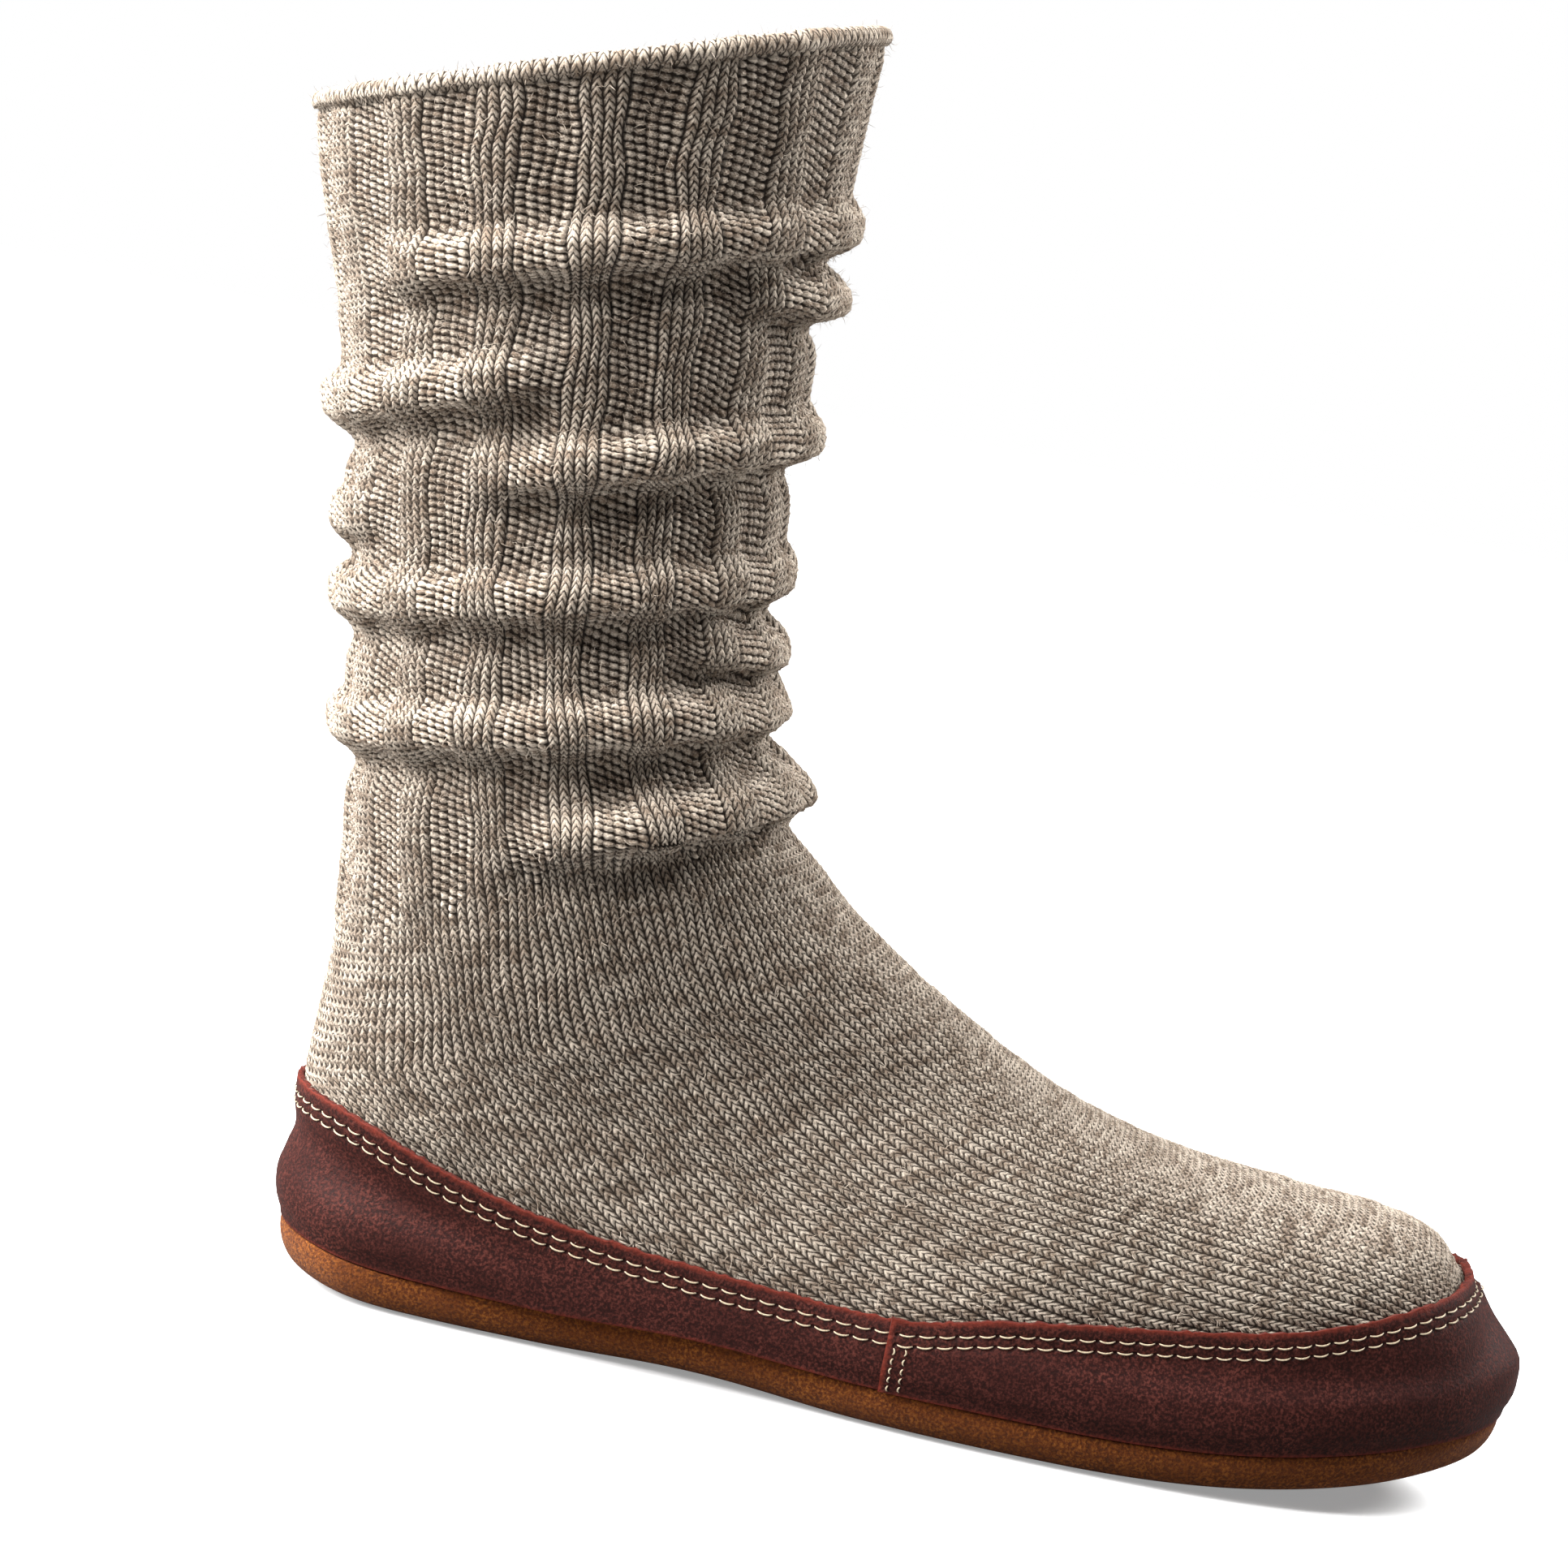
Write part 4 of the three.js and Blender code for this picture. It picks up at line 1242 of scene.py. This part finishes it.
class SLIPPER_OT_insole(bpy.types.Operator):
    """Makes the padded insole, crowned and dished under the heel"""

    bl_idname = "slipper.insole"
    bl_label = "Padded Insole"

    def execute(self, context):
        rings = sole_stack(INSOLE_LEVELS, *INSOLE_GRID)
        piece = closed_stack("felt_insole", rings, INSOLE_CAPS)
        self.pad(piece.data)
        finish_piece(piece, "insole", felt_material(context.scene.slipper_sole))
        return {"FINISHED"}

    @staticmethod
    def pad(mesh):
        """Crowns the top of the pad along the foot and dishes it under the heel."""
        places = shoe_places(mesh)
        top = smooth_step(places[:, 2] - sole_lift(places[:, 0]), INSOLE_TOP - PAD_SKIN, INSOLE_TOP)
        inner = 1 - smooth_step(np.abs(places[:, 1]), *PAD_FALL)
        heel = np.exp(-((places[:, 0] - HEEL_MIDDLE_X) / HEEL_REACH) ** 2)
        places[:, 2] += top * inner * (PAD_CROWN * (1 - heel) - HEEL_DISH * heel)
        mesh.vertices.foreach_set("co", frame_places(places).astype(np.float32).ravel())
        mesh.update()


def sock_tree(offset):
    """Search tree of the sock's smooth foot, grown by an offset, for rays."""
    shares = np.linspace(RIB_END, 1, TREE_STEPS[0])
    angles = np.linspace(0, 360, TREE_STEPS[1], endpoint=False)
    points = sock_points(shares[:, None], angles[None, :], offset, 0.0)
    rows, columns = points.shape[:2]
    index = np.arange(rows * columns).reshape(rows, columns)
    after = np.roll(index, -1, axis=1)
    quads = np.stack([index[:-1], after[:-1], after[1:], index[1:]], axis=-1).reshape(-1, 4)
    tip = points[-1].mean(axis=0) + (TIP_REACH, 0, 0)
    vertices = np.vstack([points.reshape(-1, 3), tip])
    cap = [(int(a), int(b), rows * columns) for a, b in zip(index[-1], after[-1])]
    return BVHTree.FromPolygons(vertices.tolist(), quads.tolist() + cap)


class RandSurface:
    """Outer face of the rand as a grid: columns round the foot, rows from the upper edge down."""

    START = 60  # rays start this far outside the outline
    FAR = 90.0  # depth where nothing is met
    HIGHEST = 62  # profiles are felt up to here, in steps
    STEP = 0.4
    LEVELS = 90
    BLEND = 3.0  # rounding where the sock meets the lasted edge
    FOOT_INSET = 2  # where the sole's lift under the leather is read
    PASSES = 3  # times that the columns are smoothed
    ROW_DEPTHS = (0, 0.35, 0.9, 1.6, 2.3, 2.8, 3.3, 3.9, 4.5, 5.1, 5.7, 6.4, 7.4)
    LOWER_ROWS = 16

    def __init__(self, thickness, kept, proud):
        outline, inward = foot_outline(OUTLINE_STEPS)
        order = np.arange(OUTLINE_STEPS)
        if kept[0] and kept[-1]:
            order = np.roll(order, OUTLINE_STEPS // 2)
        order = order[kept[order]][::-1]
        self.outline, self.inward = outline[order], inward[order]
        offset = GAP + thickness
        tree = sock_tree(offset)
        levels = smooth_run(LASTED_LEVELS, np.linspace(0, 1, self.LEVELS))
        grow = np.linspace(0, offset, len(levels))
        columns = []
        for at, into in zip(self.outline, self.inward):
            columns.append(self.profile(at, into, levels, grow, offset, tree))
        points = self.evened(np.stack(columns, axis=1))
        self.points = points + grid_normals(points, False) * proud(points)[..., None]
        self.measure()

    def profile(self, at, into, levels, grow, offset, tree):
        """One column of points, from the upper edge down to the outsole."""
        flat = at + into * (levels[:, :1] - offset)
        lasted_z = levels[:, 1] + grow + sole_lift(flat[:, 0])
        low = OUTSOLE_TOP + GAP + float(sole_lift(at[0] + into[0] * self.FOOT_INSET))
        heights = np.arange(low, self.HIGHEST, self.STEP)
        lasted = np.interp(heights, lasted_z, levels[:, 0] - offset, right=self.FAR)
        direction = Vector((into[0], into[1], 0))
        origin = at - into * self.START
        depths = []
        for z, lasted_depth in zip(heights, lasted):
            hit = tree.ray_cast(Vector((origin[0], origin[1], z)), direction)[3]
            sock_depth = hit - self.START if hit is not None else self.FAR
            depths.append(soft_least(sock_depth, lasted_depth, self.BLEND))
        depths = np.array(depths)
        places = np.column_stack([at + into * depths[:, None], heights])
        over = heights - rand_edge(places[:, 0])
        last = int(np.argmax(over >= 0))
        share = over[last - 1] / (over[last - 1] - over[last])
        top = places[last - 1] + (places[last] - places[last - 1]) * share
        places = np.vstack([places[:last], top])[::-1]
        down = np.concatenate([[0], np.cumsum(np.linalg.norm(np.diff(places, axis=0), axis=1))])
        rest = np.linspace(self.ROW_DEPTHS[-1], down[-1], self.LOWER_ROWS + 1)[1:]
        wanted = np.concatenate([self.ROW_DEPTHS, rest])
        return np.stack([np.interp(wanted, down, places[:, k]) for k in range(3)], axis=1)

    def evened(self, points):
        """Grid with its columns smoothed, apart from both ends."""
        for _ in range(self.PASSES):
            points = points.copy()
            points[:, 1:-1] = (points[:, :-2] + 2 * points[:, 1:-1] + points[:, 2:]) / 4
        return points

    def measure(self):
        """Map of the leather in millimetres: along the upper edge, and down from it."""
        edge = self.points[0]
        along = np.concatenate([[0], np.cumsum(np.linalg.norm(np.diff(edge, axis=0), axis=1))])
        steps = np.linalg.norm(np.diff(self.points, axis=0), axis=2)
        self.down = np.concatenate([np.zeros((1, len(along))), np.cumsum(steps, axis=0)])
        self.along = np.broadcast_to(along, self.down.shape)
        self.normals = grid_normals(self.points, False)

    def at(self, along, down):
        """Places and outward directions at distances along the edge and down from it."""
        column = np.interp(along, self.along[0], np.arange(self.along.shape[1]))
        left = np.minimum(column.astype(int), self.along.shape[1] - 2)
        share = (column - left)[:, None]
        found = []
        for grid in (self.points, self.normals):
            pair = []
            for k in (left, left + 1):
                rows = np.array([np.interp(d, self.down[:, c], np.arange(len(self.down)))
                                 for d, c in zip(down, k)])
                top = np.minimum(rows.astype(int), len(self.down) - 2)
                part = (rows - top)[:, None]
                pair.append(grid[top, k] * (1 - part) + grid[top + 1, k] * part)
            found.append(pair[0] * (1 - share) + pair[1] * share)
        return found[0], unit(found[1])


def lap_rise(points):
    """How far the toe piece stands proud where it laps over the heel piece, most at its upper corner."""
    ahead = np.maximum(0, points[..., 0] - SEAM_X)
    below = np.maximum(0, rand_edge(points[..., 0]) - points[..., 2])
    corner = np.exp(-ahead / CORNER_REACH[0] - below / CORNER_REACH[1])
    return LAP_RISE * np.exp(-ahead / LAP_REACH) + CORNER_RISE * corner


def heel_cup(points):
    """Waist under the stitched band of the heel and swell above the sole, strongest at the back."""
    back = smooth_step(-points[..., 0], *CUP_X)
    below = rand_edge(points[..., 0]) - points[..., 2]
    above = points[..., 2] - OUTSOLE_TOP - sole_lift(points[..., 0])
    waist = WAIST * np.exp(-(((below - WAIST_DEPTH) / CUP_SPREAD) ** 2))
    swell = HEEL_SWELL * np.exp(-(((above - SWELL_HEIGHT) / CUP_SPREAD) ** 2))
    return back * (swell - waist)


def soft_least(a, b, blend):
    """Smaller of two values, rounded where they are alike."""
    share = max(blend - abs(a - b), 0) / blend
    return min(a, b) - share * share * blend / 4


def thread_stitches(middles, alongs, normals, thickness):
    """Points and faces of many stitches, each 1 mm long, that dive into the leather at both ends."""
    rings, sides = len(STITCH_SWELL), STITCH_SIDES
    share = np.linspace(-1, 1, rings)
    lift = STITCH_LIFT * (1 - share**4) - STITCH_SINK
    swell = np.array(STITCH_SWELL)
    turn = np.linspace(0, 2 * math.pi, sides, endpoint=False)
    across = unit(np.cross(normals, alongs))
    across = np.where(across[:, 2:] < 0, -across, across)
    sag = STITCH_SAG * (share**2 - 0.5)
    points = (
        middles[:, None, None]
        + across[:, None, None] * sag[None, :, None, None]
        + alongs[:, None, None] * (share / 2)[None, :, None, None]
        + normals[:, None, None] * lift[None, :, None, None]
        + (across[:, None, None] * np.cos(turn)[None, None, :, None]
           + normals[:, None, None] * np.sin(turn)[None, None, :, None])
        * (swell * thickness / 2)[None, :, None, None])
    index = np.arange(rings * sides).reshape(rings, sides)
    after = np.roll(index, -1, axis=1)
    quads = np.stack([index[:-1], after[:-1], after[1:], index[1:]], axis=-1).reshape(-1, 4)
    ends = np.array([[0, 3, 2, 1], [0, 5, 4, 3]])  # two faces close a six-sided end
    ends = np.vstack([ends, (rings - 1) * sides + ends[:, ::-1]])
    quads = np.vstack([quads, ends])
    start = np.arange(len(middles))[:, None, None] * rings * sides
    return points.reshape(-1, 3), (start + quads).reshape(-1, 4)


class SLIPPER_OT_rand(bpy.types.Operator):
    """Makes the two leather pieces of the rand, lapped at the sides, and their stitching"""

    bl_idname = "slipper.rand"
    bl_label = "Leather Rand"

    def execute(self, context):
        leather = context.scene.slipper_leather
        outline = foot_outline(OUTLINE_STEPS)[0]
        behind = outline[:, 0] < SEAM_X + SEAM_LAP
        ahead = outline[:, 0] > SEAM_X
        heel = RandSurface(leather.heel_thickness / MM, behind, heel_cup)
        toe = RandSurface(leather.toe_thickness / MM, ahead, lap_rise)
        materials = leather_material(leather), raw_edge_material(leather)
        threads = []
        sides = (("rand_heel", heel, leather.heel_thickness), ("rand_toe", toe, leather.toe_thickness))
        for node, surface, thickness in sides:
            self.make_leather(node, surface, thickness, materials)
            threads += self.edge_rows(surface, leather.stitch_pitch / MM)
        threads += self.seam_rows(toe)
        piece = joined_piece("rand_stitches", *self.sewn(threads, leather.thread / MM))
        finish_piece(piece, "rand_toe", thread_material(leather))
        return {"FINISHED"}

    def make_leather(self, node, surface, thickness, materials):
        """One leather piece with its wall and its rounded cut edges."""
        points, edge_distance = self.worked_face(surface, node == "rand_toe")
        uv = np.stack([surface.along, surface.down], axis=-1)
        piece = grid_piece(f"leather_{node}", points, uv, (("edge", edge_distance),))
        for material in materials:
            piece.data.materials.append(material)
        wall = piece.modifiers.new("wall", "SOLIDIFY")
        wall.thickness = thickness * LEATHER_WALL
        wall.offset = -1
        wall.use_even_offset = True
        wall.material_offset_rim = 1
        soften = piece.modifiers.new("soften", "BEVEL")
        soften.width = LEATHER_ROUND * MM
        soften.segments = 2
        soften.limit_method = "ANGLE"
        soften.angle_limit = math.radians(50)
        apply_modifiers(piece)
        bpy.ops.object.shade_smooth_by_angle(angle=math.radians(45))
        finish_piece(piece, node)

    @staticmethod
    def sewn(threads, thickness):
        """Points and faces of all stitches, each drawn out to its own length."""
        middles, alongs, normals, lengths = (np.concatenate(part) for part in zip(*threads))
        points, faces = thread_stitches(middles, alongs, normals, thickness)
        points_each = len(points) // len(middles)
        spans = np.repeat(lengths, points_each)[:, None]
        centre = np.repeat(middles, points_each, axis=0)
        way = np.repeat(alongs, points_each, axis=0)
        along = ((points - centre) * way).sum(axis=1, keepdims=True)
        return points + way * along * (spans - 1), faces

    @staticmethod
    def worked_face(surface, has_seam):
        """Face of a rand piece, dented along its stitch rows, and the distance to its cut edges."""
        dent = sum(np.exp(-((surface.down - row) / DENT_WIDTH) ** 2) for row in STITCH_ROWS)
        points = surface.points - surface.normals * (DENT_DEPTH * dent)[..., None]
        ragged = np.random.RandomState(SEED + 3).uniform(-RAGGED, RAGGED, points.shape[1])
        near = np.exp(-surface.down / RAGGED_REACH)
        points[..., 2] += ragged * near
        distance = np.minimum(surface.down, surface.down[-1:] - surface.down + SOLE_EDGE_WEAR)
        if has_seam:
            ends = np.minimum(surface.along, surface.along[:, -1:] - surface.along)
            distance = np.minimum(distance, ends)
        return points, distance

    @staticmethod
    def edge_rows(surface, pitch):
        """Stitches of the rows along the upper edge."""
        rows = []
        last = surface.along[0, -1]
        for down in STITCH_ROWS:
            along = np.arange(pitch, last - 0.5 * pitch, pitch)
            middles, normals = surface.at(along, np.full(along.shape, down))
            ahead = surface.at(along + 0.5, np.full(along.shape, down))[0]
            rows.append((middles, unit(ahead - middles), normals, np.full(along.shape, STITCH_LENGTH)))
        return rows

    @staticmethod
    def seam_rows(surface):
        """Upright stitch rows beside the lap at both side seams."""
        rows = []
        last = surface.along[0, -1]
        for ahead in SEAM_ROWS:
            for along in (ahead, last - ahead):
                depth = np.interp(along, surface.along[0], surface.down[-1])
                down = np.arange(STITCH_ROWS[1] + SEAM_ENDS[0], depth - SEAM_ENDS[1], SEAM_PITCH)
                place = np.full(down.shape, along)
                middles, normals = surface.at(place, down)
                below = surface.at(place, down + 0.4)[0]
                rows.append((middles, unit(below - middles), normals, np.full(down.shape, SEAM_STITCH)))
        return rows


def aim(piece, target):
    """Turns a light towards a point."""
    direction = Vector(target) - piece.location
    piece.rotation_euler = direction.to_track_quat("-Z", "Y").to_euler()


class SLIPPER_OT_stage(bpy.types.Operator):
    """Sets the floor, the lights and the photograph's camera"""

    bl_idname = "slipper.stage"
    bl_label = "Stage"

    def execute(self, context):
        stage = context.scene.slipper_stage
        self.make_floor(stage)
        for name, setting, place, size in LIGHTS:
            bpy.ops.object.light_add(type="AREA", location=place)
            light = bpy.context.object
            light.name = name
            light.data.shape = "SQUARE"
            light.data.size = size
            light.data.energy = getattr(stage, setting)
            aim(light, LIGHT_TARGET)
        world = bpy.data.worlds.new("studio")
        world.use_nodes = True
        self.light_world(world.node_tree, stage)
        context.scene.world = world
        context.scene.view_settings.view_transform = "Standard"
        self.make_camera(context)
        return {"FINISHED"}

    @staticmethod
    def light_world(tree, stage):
        """White behind the shoe, and a weak even light from all round."""
        seen = tree.nodes["Background"]
        seen.inputs["Color"].default_value = (1, 1, 1, 1)
        even = add_node(tree, "ShaderNodeBackground", {"Color": (1, 1, 1, 1), "Strength": stage.sky})
        path = tree.nodes.new("ShaderNodeLightPath")
        mix = tree.nodes.new("ShaderNodeMixShader")
        tree.links.new(path.outputs["Is Camera Ray"], mix.inputs[0])
        tree.links.new(even.outputs[0], mix.inputs[1])
        tree.links.new(seen.outputs[0], mix.inputs[2])
        tree.links.new(mix.outputs[0], tree.nodes["World Output"].inputs["Surface"])

    @staticmethod
    def make_floor(stage):
        """Pale floor that grows white away from the shoe; its glow is seen but lights nothing."""
        bpy.ops.object.select_all(action="DESELECT")
        bpy.ops.mesh.primitive_plane_add(size=FLOOR_SIZE)
        floor = bpy.context.object
        floor.name = "floor"
        material, tree, shader = new_material(
            "pale_floor", Roughness=0.9, Specular_IOR_Level=0.1, Emission_Color=(1, 1, 1, 1))
        place = object_place(tree)
        grain = noise(tree, place, 3.0)
        colour = mixed_colour(
            tree, grain, rgba(stage.floor), rgba(tuple(FLOOR_MOTTLE * part for part in stage.floor)))
        seen = tree.nodes.new("ShaderNodeLightPath").outputs["Is Camera Ray"]
        dim = rgba(tuple(FLOOR_BOUNCE * part for part in stage.floor))
        tree.links.new(mixed_colour(tree, seen, dim, colour), shader.inputs["Base Color"])
        away = add_node(tree, "ShaderNodeVectorMath", operation="LENGTH")
        tree.links.new(place, away.inputs[0])
        glow = ranged(tree, away.outputs["Value"], *FLOOR_FADE, stage.glow, 1.0)
        tree.links.new(worked(tree, "MULTIPLY", glow, seen), shader.inputs["Emission Strength"])
        floor.data.materials.append(material)

    @staticmethod
    def make_camera(context):
        place, target = frame_places(CAMERA_PLACE), frame_places(CAMERA_TARGET)
        ahead = Vector(target - place).normalized()
        right = ahead.cross(Vector((0, 0, 1))).normalized()
        up = right.cross(ahead)
        roll = math.radians(CAMERA_ROLL)
        turned = right * math.cos(roll) + up * math.sin(roll)
        upright = up * math.cos(roll) - right * math.sin(roll)
        bpy.ops.object.camera_add()
        camera = bpy.context.object
        camera.name = "photo_camera"
        matrix = Matrix((turned, upright, -ahead)).transposed().to_4x4()
        matrix.translation = Vector(place)
        camera.matrix_world = matrix
        focal_pixels = PHOTO_PIXELS_PER_MM * np.linalg.norm(target - place) / MM
        camera.data.sensor_width = SENSOR
        camera.data.lens = SENSOR * focal_pixels / PHOTO_SIZE
        camera.data.clip_start = 0.05
        context.scene.camera = camera


class SLIPPER_PT_panel(bpy.types.Panel):
    """Lists the steps that build the slipper sock"""

    bl_idname = "SLIPPER_PT_panel"
    bl_label = "Slipper Sock"
    bl_space_type = "VIEW_3D"
    bl_region_type = "UI"
    bl_category = "Slipper"

    def draw(self, context):
        layout = self.layout
        for step in STEPS:
            layout.operator(step.bl_idname)
        for label in SETTINGS:
            box = layout.box()
            settings = getattr(context.scene, label)
            for name in settings.__annotations__:
                box.prop(settings, name)


SETTINGS = {
    "slipper_knit": SlipperKnit,
    "slipper_leather": SlipperLeather,
    "slipper_sole": SlipperSole,
    "slipper_stage": SlipperStage,
}
STEPS = (
    SLIPPER_OT_knit,
    SLIPPER_OT_inside,
    SLIPPER_OT_hairs,
    SLIPPER_OT_insole,
    SLIPPER_OT_outsole,
    SLIPPER_OT_rand,
    SLIPPER_OT_stage,
)


def register():
    for made in (*SETTINGS.values(), *STEPS, SLIPPER_PT_panel):
        bpy.utils.register_class(made)
    for label, made in SETTINGS.items():
        setattr(bpy.types.Scene, label, PointerProperty(type=made))


def unregister():
    for label in SETTINGS:
        delattr(bpy.types.Scene, label)
    for made in (SLIPPER_PT_panel, *reversed(STEPS), *SETTINGS.values()):
        bpy.utils.unregister_class(made)


def main():
    register()
    bpy.ops.slipper.knit()
    bpy.ops.slipper.inside()
    bpy.ops.slipper.hairs()
    bpy.ops.slipper.insole()
    bpy.ops.slipper.outsole()
    bpy.ops.slipper.rand()
    bpy.ops.slipper.stage()


if __name__ == "__main__":
    main()
